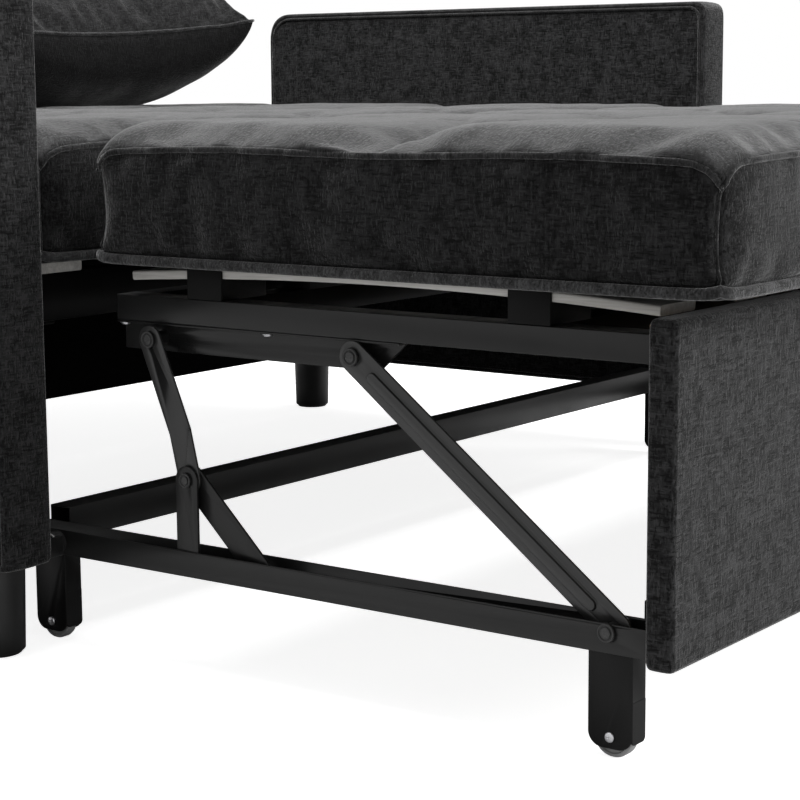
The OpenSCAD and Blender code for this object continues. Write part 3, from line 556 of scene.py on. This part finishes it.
def graded(n, panels):
    """Even shares from 0 to 1, with extra ones close to both ends and beside each sewn line."""
    inner = [i / n for i in range(n + 1)]
    ends = [0.12 / n, 0.38 / n]
    beside = [i / panels + side * 0.3 / n for i in range(1, panels) for side in (-1, 1)]
    return np.array(sorted(inner + ends + [1 - s for s in ends] + beside))


def drawn_corners(a, b, half_a, half_b, radii):
    """Square corners drawn in to rounds; radii run front-low, rear-low, rear-high, front-high."""
    r = np.where(b < 0, np.where(a < 0, radii[0], radii[1]), np.where(a < 0, radii[3], radii[2]))
    da = np.abs(a) - (half_a - r)
    db = np.abs(b) - (half_b - r)
    inside = (da > 0) & (db > 0)
    pull_a = half_a - r + da * np.sqrt(1 - np.clip(db / r, 0, 1) ** 2 / 2)
    pull_b = half_b - r + db * np.sqrt(1 - np.clip(da / r, 0, 1) ** 2 / 2)
    return (np.where(inside, np.sign(a) * pull_a, a), np.where(inside, np.sign(b) * pull_b, b))


def round_the_edge(index):
    """The numbers on the border of a grid, once round."""
    return np.concatenate([index[:-1, 0], index[-1, :-1], index[:0:-1, -1], index[0, :0:-1]])


def grid_cells(index):
    cells = np.stack([index[:-1, :-1], index[1:, :-1], index[1:, 1:], index[:-1, 1:]], -1)
    return cells.reshape(-1, 4)


class BoxSkin:
    """A closed skin in local a, b, c: a face of shares above, one below, rings between them."""

    def __init__(self, size_a, size_b, radii, cells_a, cells_b, panels=(1, 1)):
        self.half_a, self.half_b, self.radii = size_a / 2, size_b / 2, radii
        self.u, self.v = np.meshgrid(graded(cells_a, panels[0]), graded(cells_b, panels[1]),
                                     indexing="ij")
        self.shape = self.u.shape
        self.rim = round_the_edge(np.arange(self.u.size).reshape(self.shape))
        self.rim_u, self.rim_v = self.u.ravel()[self.rim], self.v.ravel()[self.rim]
        self.a, self.b = self.place(self.u, self.v)

    def place(self, u, v, inset=0.0):
        a, b = drawn_corners((u - 0.5) * 2 * self.half_a, (v - 0.5) * 2 * self.half_b,
                             self.half_a, self.half_b, self.radii)
        return a * (1 - inset / self.half_a), b * (1 - inset / self.half_b)

    def lay(self, u, v, inset, height):
        places = np.broadcast_arrays(*self.place(u, v, inset), height)
        return np.stack(places, -1).reshape(-1, 3)

    def ring(self, inset, height):
        return self.lay(self.rim_u, self.rim_v, inset, height)

    def from_edge(self):
        """How far each place of the grid is from the nearest edge."""
        return np.minimum(np.minimum(self.u, 1 - self.u) * 2 * self.half_a,
                          np.minimum(self.v, 1 - self.v) * 2 * self.half_b)

    def round_edges(self, radius, half, steps, wall=()):
        """Rings that round both edges of a board, with its wall between them."""
        turns = [math.pi / 2 * step / steps for step in range(1, steps)]
        low, high = ([self.ring(radius * (1 - math.sin(turn)),
                                side * (half - radius * (1 - math.cos(turn))))
                      for turn in turns] for side in (-1, 1))
        return low + list(wall) + high[::-1]

    def build(self, name, upper, lower, lower_inset, rings, axes, material, upper_inset=0.0):
        """upper and lower are heights over the grid; rings run from the lower rim to the upper."""
        n, m = self.u.size, len(self.rim)
        points = [self.lay(self.u, self.v, upper_inset, upper),
                  self.lay(self.u, self.v, lower_inset, lower)] + rings
        cells = grid_cells(np.arange(n).reshape(self.shape))
        faces = [cells, cells[:, ::-1] + n]
        rows = [self.rim + n, *(2 * n + np.arange(len(rings) * m).reshape(-1, m)), self.rim]
        for low, high in zip(rows, rows[1:]):
            faces.append(np.stack([low, np.roll(low, -1), np.roll(high, -1), high], -1))
        origin, across, along, out = (np.array(x, float) for x in axes)
        local = np.concatenate(points)
        world = origin + local[:, :1] * across + local[:, 1:2] * along + local[:, 2:] * out
        return from_arrays(name, world, np.concatenate(faces), material)


# ---------- cloth runs

CLOTH = {"quality": 5, "mass": 0.12, "tension_stiffness": 14, "compression_stiffness": 14,
         "shear_stiffness": 5, "bending_stiffness": 0.35, "use_pressure": True,
         "vertex_group_mass": "sewn"}
CLOTH_REACH = 6 * MM


def places_of(mesh):
    flat = np.empty(len(mesh.vertices) * 3, np.float32)
    mesh.vertices.foreach_get("co", flat)
    return flat.reshape(-1, 3)


def run_cloth(piece, held, pressure, slack=-0.035, frames=16):
    """Blows the cloth out from inside while its sewn points stay; its slack settles in creases."""
    scene = bpy.context.scene
    group = piece.vertex_groups.new(name="sewn")
    group.add([int(i) for i in np.flatnonzero(held)], 1.0, "REPLACE")
    cloth = piece.modifiers.new("cloth", "CLOTH")
    for key, value in CLOTH.items():
        setattr(cloth.settings, key, value)
    cloth.settings.uniform_pressure_force = pressure
    cloth.settings.shrink_min = slack
    cloth.settings.effector_weights.gravity = 0
    cloth.collision_settings.use_collision = False
    cloth.collision_settings.use_self_collision = False
    cloth.point_cache.frame_start, cloth.point_cache.frame_end = 1, frames
    for number in range(1, frames + 1):
        scene.frame_set(number)
    rest = places_of(piece.data)
    graph = bpy.context.evaluated_depsgraph_get()
    step = places_of(piece.evaluated_get(graph).data) - rest
    piece.modifiers.remove(cloth)
    piece.vertex_groups.clear()
    reach = np.linalg.norm(step, axis=1, keepdims=True)
    step *= np.minimum(1, CLOTH_REACH / np.maximum(reach, 1e-9))
    piece.data.vertices.foreach_set("co", (rest + step).ravel())
    piece.data.update()
    scene.frame_set(1)


# ---------- cushions

CROWN = 22 * MM
TUFT = 21 * MM
HEM = 9 * MM
EDGE_ROLL = 36 * MM
CREASE = 80 * MM
CORNER_R = 13 * MM
SEAM_LIFT, SCALLOP, CORNER_DROP = 5 * MM, 2.5 * MM, 17 * MM
CORNER_DIMPLE = 7 * MM
RIPPLE, PULL = 1.6 * MM, 2.2 * MM
COLUMNS, ROWS = 5, 2
CUSHION_PRESSURE, PILLOW_PRESSURE = 3.0, 2.0
# Half the thickness and half the height of the bands along the seams
TOP_BAND, HEM_BAND = (1.5 * MM, 2.6 * MM), (2.6 * MM, 4.4 * MM)
WALL_SHARES = (0.05, 0.16, 0.3, 0.44, 0.58, 0.72, 0.86, 0.96)


def edge_rise(distance):
    near = np.clip(distance / EDGE_ROLL, 0, 1)
    return np.sqrt(1 - (1 - near) ** 2)


def crease_share(share, count, size):
    """1 on a sewn line, falling to 0 beside it: a wide hollow with a sharp bottom."""
    depth = np.zeros_like(share)
    for i in range(1, count):
        d = np.abs(share - i / count) * size
        wide = np.clip(1 - d / CREASE, 0, 1) ** 2
        depth = np.maximum(depth, 0.7 * wide + 0.3 * np.exp(-(d / (5 * MM)) ** 2))
    return depth


def scallop(share, count):
    """Height of the seam along one edge: full between sewn lines, low at them and at corners."""
    return np.sin(math.pi * share * count) ** 2


def wrinkles(points, amount, scales, seed):
    """Smooth signed noise for each point, drawn out by scales."""
    shift = Vector((seed * 7.3, seed * 3.1, seed * 5.7))
    drawn = [Vector((x * scales[0], y * scales[1], z * scales[2])) for x, y, z in points]
    return np.array([noise.fractal(place + shift, 0.9, 2.1, 3) for place in drawn]) * amount


def sheet_wrinkles(a, b, scales, seed, amount=1.0, height=0.0):
    """Wrinkles over a flat grid or row of places a, b."""
    flat = np.stack([a.ravel(), b.ravel(), np.full(a.size, float(height))], -1)
    return wrinkles(flat, amount, (*scales, 1), seed).reshape(a.shape)


def sewn_points(skin, ring_count):
    """True for the points that a cushion's seams, sewn lines and underside hold."""
    on_line = np.zeros(skin.shape, bool)
    for count, share in ((COLUMNS, skin.u), (ROWS, skin.v)):
        for i in range(count + 1):
            on_line |= np.abs(share - i / count) < 1e-6
    sides = np.zeros((ring_count, len(skin.rim)), bool)
    sides[:3] = True
    return np.concatenate([on_line.ravel(), np.ones(skin.u.size, bool), sides.ravel()])


def make_cushion(node, body, seed):
    low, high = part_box(node)
    width, length = high.x - low.x, high.y - low.y
    mid_y, foot, seam = (low.y + high.y) / 2, low.z, high.z - CROWN
    skin = BoxSkin(width, length, (CORNER_R,) * 4, 20 * COLUMNS,
                   max(24, 2 * round(length / (25 * MM))), (COLUMNS, ROWS))

    def from_sides(u, v):
        return np.minimum(u, 1 - u) * width, np.minimum(v, 1 - v) * length

    def seam_lift(u, v):
        side, end = from_sides(u, v)
        along_end = scallop(u, COLUMNS) * np.clip(1 - end / EDGE_ROLL, 0, 1)
        along_side = scallop(v, ROWS) * np.clip(1 - side / EDGE_ROLL, 0, 1)
        corner = np.exp(-(side + end) / (10 * MM))
        return SEAM_LIFT + SCALLOP * np.maximum(along_end, along_side) - CORNER_DROP * corner

    side, end = from_sides(skin.u, skin.v)
    lift = seam_lift(skin.u, skin.v)
    by_column = crease_share(skin.u, COLUMNS, width)
    by_row = crease_share(skin.v, ROWS, length)
    sewn = np.maximum(by_column, by_row)
    rise = edge_rise(side) * edge_rise(end)
    from_dimple = (side - CORNER_DIMPLE) ** 2 + (end - CORNER_DIMPLE) ** 2
    dimple = np.exp(-from_dimple / CORNER_DIMPLE ** 2)
    ripple = sheet_wrinkles(skin.a, skin.b, (11, 11), seed)
    pull = sheet_wrinkles(skin.a, skin.b, (45, 45), seed + 3)
    upper = (seam + lift + rise * (CROWN - lift - TUFT * sewn - 3 * MM * (by_column * by_row))
             + rise * (RIPPLE * ripple + PULL * pull * sewn * (1 - sewn) * 4)
             - CORNER_DIMPLE * dimple)
    rim_lift = seam_lift(skin.rim_u, skin.rim_v)
    from_corner = sum(from_sides(skin.rim_u, skin.rim_v))
    at_corner = np.exp(-(from_corner / (2.5 * MM)) ** 2)
    rim_a, rim_b = skin.place(skin.rim_u, skin.rim_v)
    wave = np.clip(sheet_wrinkles(rim_a, rim_b, (4, 4), seed + 11), 0, 0.4)
    hem_top = foot + HEM + 9 * MM * wave + 3 * MM * np.exp(-from_corner / (9 * MM))
    rings = [skin.ring(1.0 * MM, foot + 1.6 * MM), skin.ring(2.2 * MM, hem_top - 1.5 * MM),
             skin.ring(3.2 * MM, hem_top)]
    for share in WALL_SHARES:
        height = hem_top + share * (seam + rim_lift - hem_top)
        wall = np.stack([rim_a, rim_b, height], -1)
        slack = wrinkles(wall, 1.0, (9, 9, 14), seed + 5)
        gather = wrinkles(wall, 1.0, (40, 40, 6), seed + 8) * (abs(2 * share - 1) ** 3)
        hollow = math.sin(math.pi * share)
        inset = (4 * hollow ** 0.7 - 1.6 * slack * hollow - 0.9 * gather) * MM
        rings.append(skin.ring(inset + 1.8 * MM * at_corner, height))
    axes = ((0, mid_y, 0), (1, 0, 0), (0, 1, 0), (0, 0, 1))
    cushion = skin.build(node + "_cloth", upper, foot, 6 * MM, rings, axes, CUSHION_CLOTH)
    run_cloth(cushion, sewn_points(skin, len(rings)), CUSHION_PRESSURE)
    places = places_of(cushion.data)
    subdivide(cushion)
    settle(cushion, body, "upholstery", node)
    sew_cushion(node, body, skin, places, len(rings))


def sew_cushion(node, body, skin, places, ring_count):
    """Bands along both seams, cords down the corners and rows of stitches."""
    start = 2 * skin.u.size
    sides = places[start:start + ring_count * len(skin.rim)].reshape(ring_count, -1, 3)
    rim = places[skin.rim]
    near, far = (np.stack(skin.place(skin.rim_u, skin.rim_v, -out * MM), -1) for out in (0, 1))
    mid_y = (rim[:, 1].min() + rim[:, 1].max()) / 2
    band = np.column_stack([sides[-1][:, :2] + 0.8 * (far - near), rim[:, 2] - 2.0 * MM])
    # The front band stays behind the swell of the cloth, which just clears the folded front panel
    band[:, 1] = np.maximum(band[:, 1], places[:, 1].min() + 2.5 * MM)
    lay_welt(node + "_top_band", band, TOP_BAND[0], body, height=TOP_BAND[1])
    hem = np.column_stack([near + 0.5 * (far - near) + (0, mid_y), sides[2][:, 2] - 4.6 * MM])
    lay_welt(node + "_hem", hem, HEM_BAND[0], body, height=HEM_BAND[1], material=SHEEN_LIT_HEM_CLOTH)
    end_u = (skin.rim_u < 1e-6) | (skin.rim_u > 1 - 1e-6)
    end_v = (skin.rim_v < 1e-6) | (skin.rim_v > 1 - 1e-6)
    for number, k in enumerate(np.flatnonzero(end_u & end_v)):
        column = np.concatenate([sides[2:, k], rim[k:k + 1]])
        column[:, :2] += np.sign(column[:, :2] - (0, mid_y)) * 0.6 * MM
        lay_welt(f"{node}_corner_cord_{number}", column, 1.2 * MM, body, closed=False, step=4 * MM)
    grid = places[:skin.u.size].reshape(*skin.shape, 3) + np.array([0, 0, 1.1 * MM])
    lines = [grid[np.argmin(np.abs(skin.u[:, 0] - i / COLUMNS)), 2:-2] for i in range(1, COLUMNS)]
    lines += [grid[2:-2, np.argmin(np.abs(skin.v[0] - i / ROWS))] for i in range(1, ROWS)]
    lay_stitches(node + "_stitches", lines, body)


# ---------- throw pillow

PILLOW_MID = (292 * MM, 662 * MM)
PILLOW_W, PILLOW_H = 430 * MM, 230 * MM
PILLOW_TIP, PILLOW_TURN = math.radians(-3), math.radians(-6)
PILLOW_PINCH, PILLOW_SAG = 0.07, 9 * MM
PILLOW_CELLS = 72
UPPER_POWER, LOWER_POWER = 0.5, 0.34
LOWER_SWELL = 1.12


def turned(x, y, angle):
    return (x * math.cos(angle) - y * math.sin(angle), x * math.sin(angle) + y * math.cos(angle))


def make_pillow():
    """A pointed pillow that lies tipped on the back cushion: upper side 1, under side -1."""
    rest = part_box("throw_pillow")[0].z
    n = PILLOW_CELLS
    shares = -np.cos(np.pi * np.arange(n + 1) / n)
    a, b = np.meshgrid(shares, shares, indexing="ij")
    sag = PILLOW_SAG * np.maximum(a ** 6 * (1 - b ** 2), b ** 6 * (1 - a ** 2))

    def points(side):
        x = a * PILLOW_W / 2 * (1 - PILLOW_PINCH * (1 - b ** 2))
        y = b * PILLOW_W / 2 * (1 - PILLOW_PINCH * (1 - a ** 2))
        body = np.maximum((1 - np.abs(a) ** 2.4) * (1 - np.abs(b) ** 2.4), 0)
        swell = body ** UPPER_POWER if side > 0 else LOWER_SWELL * body ** LOWER_POWER
        soft, ripple_x, ripple_y = (
            sheet_wrinkles(x, y, scales, seed, height=side * 0.3)
            for scales, seed in (((7, 7), 11), ((26, 7), 14), ((7, 26), 17)))
        # Gathers run away from each edge of the seam and fade towards the middle
        by_x = ripple_x * np.abs(b) ** 3 * (1 - np.abs(b) ** 9)
        by_y = ripple_y * np.abs(a) ** 3 * (1 - np.abs(a) ** 9)
        folds = (19.0 if side > 0 else 2.0) * MM * (by_x + by_y) * (1 - np.abs(a * b) ** 2)
        z = side * (PILLOW_H / 2 * swell * (1 + 0.05 * soft) + folds) - sag
        x, z = turned(x, z, -PILLOW_TIP)
        x, y = turned(x, y, PILLOW_TURN)
        return np.stack([PILLOW_MID[0] + x, PILLOW_MID[1] + y,
                         np.maximum(rest, rest + PILLOW_H / 2 + z)], -1)

    upper, under = points(1), points(-1)
    index = np.arange((n + 1) ** 2).reshape(n + 1, n + 1)
    inner = index[1:-1, 1:-1]
    below = index.copy()
    below[1:-1, 1:-1] = (n + 1) ** 2 + np.arange(inner.size).reshape(inner.shape)

    places = np.concatenate([upper.reshape(-1, 3), under[1:-1, 1:-1].reshape(-1, 3)])
    faces = np.concatenate([grid_cells(index), grid_cells(below)[:, ::-1]])
    pillow = from_arrays("throw_pillow_cloth", places, faces, PILLOW_CLOTH)
    is_under = np.arange(len(places)) >= (n + 1) ** 2
    # The marked underside takes the pillow cloth's painted shade.
    mark_points(pillow.data, "under", is_under)
    edge = round_the_edge(index)
    held = is_under.copy()
    held[edge] = True
    run_cloth(pillow, held, PILLOW_PRESSURE, -0.04)
    subdivide(pillow)
    settle(pillow, "backrest", "upholstery", "throw_pillow")
    lay_welt("throw_pillow_welt", places[edge], 2.2 * MM, "backrest")


# ---------- arms and covered boards

ARM_ROUND = 5 * MM
ARM_CORNERS = (6 * MM, 6 * MM, 34 * MM, 16 * MM)
ARM_CELLS = (60, 42)


def make_arm(side, sign):
    node = side + "_arm_cover"
    low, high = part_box(node)
    length, height, thick = high.y - low.y, high.z - low.z, high.x - low.x
    centre = ((low.x + high.x) / 2, (low.y + high.y) / 2, (low.z + high.z) / 2)
    skin = BoxSkin(length, height, ARM_CORNERS, *ARM_CELLS)
    padding = np.clip(skin.from_edge() / (60 * MM), 0, 1)
    half = thick / 2

    def face(seed):
        ripple = sheet_wrinkles(skin.a, skin.b, (6, 6), seed)
        return half - 1.2 * MM + padding * (1.0 * MM + 0.8 * MM * ripple)

    wall = [skin.ring(-0.8 * MM * math.sin(math.pi * share),
                      -half + ARM_ROUND + share * (thick - 2 * ARM_ROUND))
            for share in (0.15, 0.5, 0.85)]
    rings = skin.round_edges(ARM_ROUND, half, 8, wall)
    axes = (centre, (0, 1, 0), (0, 0, 1), (1, 0, 0))
    arm = skin.build(node + "_cloth", face(21 + sign), -face(25 + sign), ARM_ROUND, rings, axes,
                     CHENILLE, upper_inset=ARM_ROUND)
    subdivide(arm)
    settle(arm, "sofa_base", "upholstery", node)
    for word, out in (("left", -1), ("right", 1)):
        a, b = skin.place(skin.rim_u, skin.rim_v, 8 * MM)
        x = np.full(len(a), centre[0] + out * (half - 0.6 * MM))
        line = np.stack([x, centre[1] + a, centre[2] + b], -1)
        lay_welt(f"{side}_arm_{word}_welt", line, 2.0 * MM, "sofa_base")


def make_covered_board(node, name, body, across, along, out, *, rounding, cells, seed,
                       radius=6 * MM, material=CHENILLE):
    """Cloth pulled over a board: soft edges and a faint slack in its faces."""
    low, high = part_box(node)
    size = high - low
    centre = (low + high) / 2
    size_a, size_b, thick = (abs(size.dot(Vector(way))) for way in (across, along, out))
    skin = BoxSkin(size_a, size_b, (radius,) * 4, *cells)
    half = thick / 2
    slack = np.clip(skin.from_edge() / (45 * MM), 0, 1)
    upper = half - 0.4 * MM + slack * sheet_wrinkles(skin.a, skin.b, (8, 8), seed, 0.7 * MM)
    piece = skin.build(name, upper, -half, rounding, skin.round_edges(rounding, half, 6),
                       (centre, across, along, out), material, upper_inset=rounding)
    subdivide(piece)
    return settle(piece, body, "upholstery", node)


# ---------- turned pieces

# Name, side and distance along Y of each castor
CORNERS = (("front_left", -1, -800), ("front_right", 1, -800),
           ("rear_left", -1, -214), ("rear_right", 1, -214))
CASTOR_X, AXLE_Z = 562.5, 17

def turn_profile(name, profile, centre, axis, material, segments=64, closed=False):
    """Spins points of radius and place along the axis, in millimetres."""
    axis = Vector(axis)
    side = Vector((0, 0, 1)) if abs(axis.z) < 0.5 else Vector((1, 0, 0))
    other = axis.cross(side)
    angles = [2 * math.pi * i / segments for i in range(segments)]
    bm = bmesh.new()
    rows = []
    for radius, along in profile:
        base = Vector(centre) + axis * (along * MM)
        spun = angles if radius else angles[:1]
        rows.append([bm.verts.new(base + radius * MM * (math.cos(t) * side + math.sin(t) * other))
                     for t in spun])
    pairs = list(zip(rows, rows[1:])) + ([(rows[-1], rows[0])] if closed else [])
    for first, second in pairs:
        for i in range(segments):
            j = (i + 1) % segments
            corners = [first[i % len(first)], first[j % len(first)], second[j % len(second)],
                       second[i % len(second)]]
            bm.faces.new(list(dict.fromkeys(corners)))
    bmesh.ops.recalc_face_normals(bm, faces=bm.faces)
    mesh = mesh_of(name, bm)
    mesh.set_sharp_from_angle(angle=math.radians(38))
    return link_mesh(name, mesh, material)


def make_leg(node):
    low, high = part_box(node)
    x, y = (low.x + high.x) / 2, (low.y + high.y) / 2
    profile = [(0, 0), (21, 0), (22, 0.8), (22, 3.0), (24.3, 3.2), (25.0, 4.2), (25.6, 28),
               (26.3, 55), (26.9, 79.5), (26.4, 81.4), (25, 82), (0, 82)]
    leg = turn_profile(node + "_turned", profile, (x, y, 0), (0, 0, 1), LEG_LACQUER)
    settle(leg, "sofa_base", "black_legs", node)


def make_wheel(node):
    low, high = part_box(node)
    centre = (low + high) / 2
    half = [(17, 3.2), (16.2, 5.2), (14.6, 6), (13.8, 6), (13.2, 4.6), (9, 4.6), (7, 5.2),
            (7, 6.6), (6.6, 7), (3.2, 7)]
    profile = [(radius, -along) for radius, along in reversed(half)] + half
    wheel = turn_profile(node + "_turned", profile, centre, (1, 0, 0), WHEEL_NYLON, 72, True)
    settle(wheel, node, "wheel_nylon", node)


def make_buffers():
    for side, sign in (("left", -1), ("right", 1)):
        centre, aim = (sign * 577.5 * MM, -231 * MM, 93.75 * MM), (sign, 0, 0)
        profile = [(0, 0), (10, 0), (10, 8.6), (9.7, 10), (8.8, 11.3), (7.6, 12), (4.6, 12),
                   (4.4, 9.6), (0, 9.6)]
        pad = turn_profile(f"stop_buffer_{side}", profile, centre, aim, BLACK_RUBBER)
        settle(pad, "carriage", "black_rubber", "stop_buffers")
        # Painted highlight: a pale ring round the pad's rim.
        circle = [(8.9 + 0.9 * math.cos(t * math.pi / 6), 11.2 + 0.9 * math.sin(t * math.pi / 6))
                  for t in range(12)]
        rim = turn_profile(f"stop_buffer_rim_{side}", circle, centre, aim, RIM_HIGHLIGHT, closed=True)
        settle(rim, "carriage", "zinc")


def make_axles():
    """A rod with a cross-recess head outside the fork and a plain head inside it."""
    heads = []
    profile = [(0, -12), (3.6, -12), (5.2, -11.2), (5.5, -10), (3, -10), (3, 10), (0, 10)]
    for corner, sign, y in CORNERS:
        centre = (sign * CASTOR_X * MM, y * MM, AXLE_Z * MM)
        rod = turn_profile("castor_axle_" + corner, profile, centre, (sign, 0, 0), ZINC, 40)
        settle(rod, "carriage", "zinc", "castor_axle_bolts")
        heads.append((sign * (CASTOR_X + 10), y, AXLE_Z))
    add_heads("castor_axle_heads", CROSS_HEADS, heads, outwards, 4.0, 2.2, "carriage")


def make_flange_screws():
    """Screws through the flange of each link plate, with cross-recess heads below it."""
    top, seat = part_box("link_plate_screws")[1].z / MM, 295.56
    heads = both([(557.5, -463, seat - 0.9), (557.5, -303, seat - 0.9)])
    profile = [(0, top), (2.5, top), (2.5, seat), (5.4, seat), (5.4, seat - 0.5),
               (4.6, seat - 0.9), (0, seat - 0.9)]
    for number, (x, y, _) in enumerate(heads):
        centre = (x * MM, y * MM, 0)
        screw = turn_profile(f"link_plate_screw_{number}", profile, centre, (0, 0, 1),
                             ZINC, 40)
        settle(screw, "platform", "zinc", "link_plate_screws")
    add_heads("flange_screw_heads", CROSS_HEADS, heads, (0, 0, -1), 4.0, 1.8, "platform")


# ---------- steel and wood

# Node, body, count, width, thickness and bow
SLAT_SETS = (("platform_slats", "platform", 10, 53 * MM, 8 * MM, 9 * MM),
             ("seat_slats", "sofa_base", 9, 55 * MM, 9 * MM, 0.0))
# Body, finish, width of the eased edges in millimetres, nodes
STEEL = (
    ("sofa_base", SHADE_COAT, 0.7, ("seat_front_tube", "seat_rear_tube", "seat_side_angles")),
    ("sofa_base", POWDER_COAT, 0.7, ("pull_out_stops", "recliner_fixed_plates")),
    ("backrest", POWDER_COAT, 0.7,
     ("recliner_moving_plates", "back_side_tubes", "back_cross_tubes")),
    ("carriage", POWDER_COAT, 0.6,
     ("lower_rail_left", "lower_rail_right", "lower_cross_tubes", "panel_brackets",
      "rear_posts", "rear_braces")),
    ("carriage", FORK_COAT, 0.6, tuple("castor_fork_" + corner for corner, _, _ in CORNERS)),
    ("front_links", REFLECTION_LIT_COAT, 0.8, ("front_link_left",)),
    ("platform", POWDER_COAT, 1.2, ("upper_rail_left",)),
    ("front_links", REFLECTION_LIT_COAT, 0.8, ("front_link_right",)),
    ("platform", POWDER_COAT, 1.2, ("upper_rail_right",)),
    ("platform", SHADE_COAT, 0.6, ("platform_cross_tubes",)),
    ("platform", POWDER_COAT, 0.6, ("link_plates",)),
    ("rear_arms", REFLECTION_LIT_COAT, 0.8, ("rear_arms",)),
)
# Finish and the nodes whose own shape is kept
PAINTED = (
    (PLYWOOD, ("left_arm_frame", "right_arm_frame", "rear_board", "front_panel_board")),
    (ZINC, ("frame_bolts", "recliner_pins")),
    (POWDER_COAT, ("post_rivets", "lower_link_pins", "upper_link_pins")),
)
# Name, place, radius, height and body of the pin faces, in millimetres
PIVOTS = (("c", (568.75, -556.68, 284.06), 4.4, 1.6, "platform"),
          ("e", (574.75, -342.88, 284.06), 4.4, 0.5, "platform"),
          ("a", (580.0, -800.0, 98.5), 4.4, 1.6, "carriage"),
          ("b", (577.5, -384.78, 166.54), 3.8, 1.6, "carriage"))


def ease_edges(piece, width):
    ease = piece.modifiers.new("eased_edges", "BEVEL")
    ease.width = width * MM
    ease.segments = 2
    ease.limit_method = "ANGLE"
    ease.angle_limit = math.radians(35)
    ease.harden_normals = True
    ease.use_clamp_overlap = False


def soften(node, body, material, width, slot="black_steel"):
    """A merged copy of a node's mesh with eased edges, in its place."""
    bm = bmesh.new()
    bm.from_mesh(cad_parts[node].data)
    bmesh.ops.remove_doubles(bm, verts=bm.verts, dist=2e-6)
    bmesh.ops.dissolve_limit(bm, angle_limit=math.radians(0.05), verts=bm.verts, edges=bm.edges)
    name = node + "_eased"
    piece = link_mesh(name, mesh_of(name, bm), material)
    ease_edges(piece, width)
    return settle(piece, body, slot, node)


def make_fork_lips():
    """The web of each fork runs down in front of its wheel, with its lower corners cut round."""
    half, top, foot, cut = 9.8, 46.0, 13.0, 4.0
    turns = [math.radians(t) for t in range(180, 271, 15)]
    low = [(cut - half + cut * math.cos(t), foot + cut + cut * math.sin(t)) for t in turns]
    outline = [(-half, top)] + low + [(-x, z) for x, z in reversed(low)] + [(half, top)]
    n = len(outline)
    faces = [tuple(range(n)), tuple(range(2 * n - 1, n - 1, -1))]
    faces += [(i, (i + 1) % n, (i + 1) % n + n, i + n) for i in range(n)]
    for corner, sign, y in CORNERS:
        points = [((sign * CASTOR_X + x) * MM, (y - depth) * MM, z * MM)
                  for depth in (19.3, 17.8) for x, z in outline]
        lip = from_arrays("castor_fork_lip_" + corner, points, faces, FORK_COAT)
        ease_edges(lip, 0.3)
        settle(lip, "carriage", "black_steel")


def paint(node, material):
    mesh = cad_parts[node].data
    mesh.materials.clear()
    mesh.materials.append(material)


def lay_slats():
    for node, body, count, width, thick, rise in SLAT_SETS:
        low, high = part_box(node)
        pitch = (high.x - low.x - width) / (count - 1)
        points = [(low.x + width / 2 + i * pitch, low.y, low.z + thick / 2) for i in range(count)]
        slats = run_tree(node + "_veneer", SLATS, points,
                         {"Length": high.y - low.y, "Width": width, "Thickness": thick,
                          "Rise": rise, "Corner": 2 * MM, "Material": BIRCH})
        settle(slats, body, "birch", node)


def add_heads(name, tree, places, aim, radius, height, body, slot="zinc", material=ZINC):
    aims = [aim(p) if callable(aim) else aim for p in places]
    heads = run_tree(name, tree, [[c * MM for c in p] for p in places],
                     {"Radius": radius * MM, "Height": height * MM, "Material": material},
                     aims=aims)
    return settle(heads, body, slot)


def outwards(place):
    return (math.copysign(1, place[0]), 0, 0)


def both(places):
    return [p for x, y, z in places for p in ((x, y, z), (-x, y, z))]


def add_pin_faces():
    """A ringed, recessed face on every linkage pin and rivet that shows."""
    for key, place, radius, height, body in PIVOTS:
        add_heads("pin_face_" + key, PIN_FACES, both([place]), outwards, radius, height, body,
                  "black_steel", REFLECTION_LIT_COAT)


def dress_steel():
    for body, finish, width, nodes in STEEL:
        for node in nodes:
            soften(node, body, finish, width)
        if finish is FORK_COAT:
            make_fork_lips()
    soften("slat_holders", "platform", BLACK_PLASTIC, 0.8, "black_plastic")

# ---------- the whole sofa

place_camera()
set_stage()
for node_name, body_name, number in (("mattress", "platform", 1), ("seat_cushion", "sofa_base", 2),
                                     ("back_cushion", "backrest", 3)):
    make_cushion(node_name, body_name, number)
make_pillow()
make_arm("left", -1)
make_arm("right", 1)
make_covered_board("front_panel_cover", "front_panel_cloth", "carriage",
                   (1, 0, 0), (0, 0, 1), (0, -1, 0), rounding=6 * MM, cells=(90, 20), seed=31)
# The rear board's lining is its own black with painted shade on top.
make_covered_board("rear_board_cover", "rear_board_cloth", "sofa_base",
                   (1, 0, 0), (0, 0, 1), (0, 1, 0), rounding=2 * MM, cells=(60, 12), seed=33,
                   radius=3 * MM, material=SHADED_LINING)
make_covered_board("back_shell", "back_shell_cloth", "backrest",
                   (1, 0, 0), (0, 1, 0), (0, 0, -1), rounding=5 * MM, cells=(80, 30), seed=35)
for place_name, _, _ in CORNERS:
    make_leg("leg_" + place_name)
for place_name, _, _ in CORNERS:
    make_wheel("wheel_" + place_name)
make_buffers()
make_axles()
make_flange_screws()
dress_steel()
add_pin_faces()
lay_slats()
for finish, node_names in PAINTED:
    for node_name in node_names:
        paint(node_name, finish)
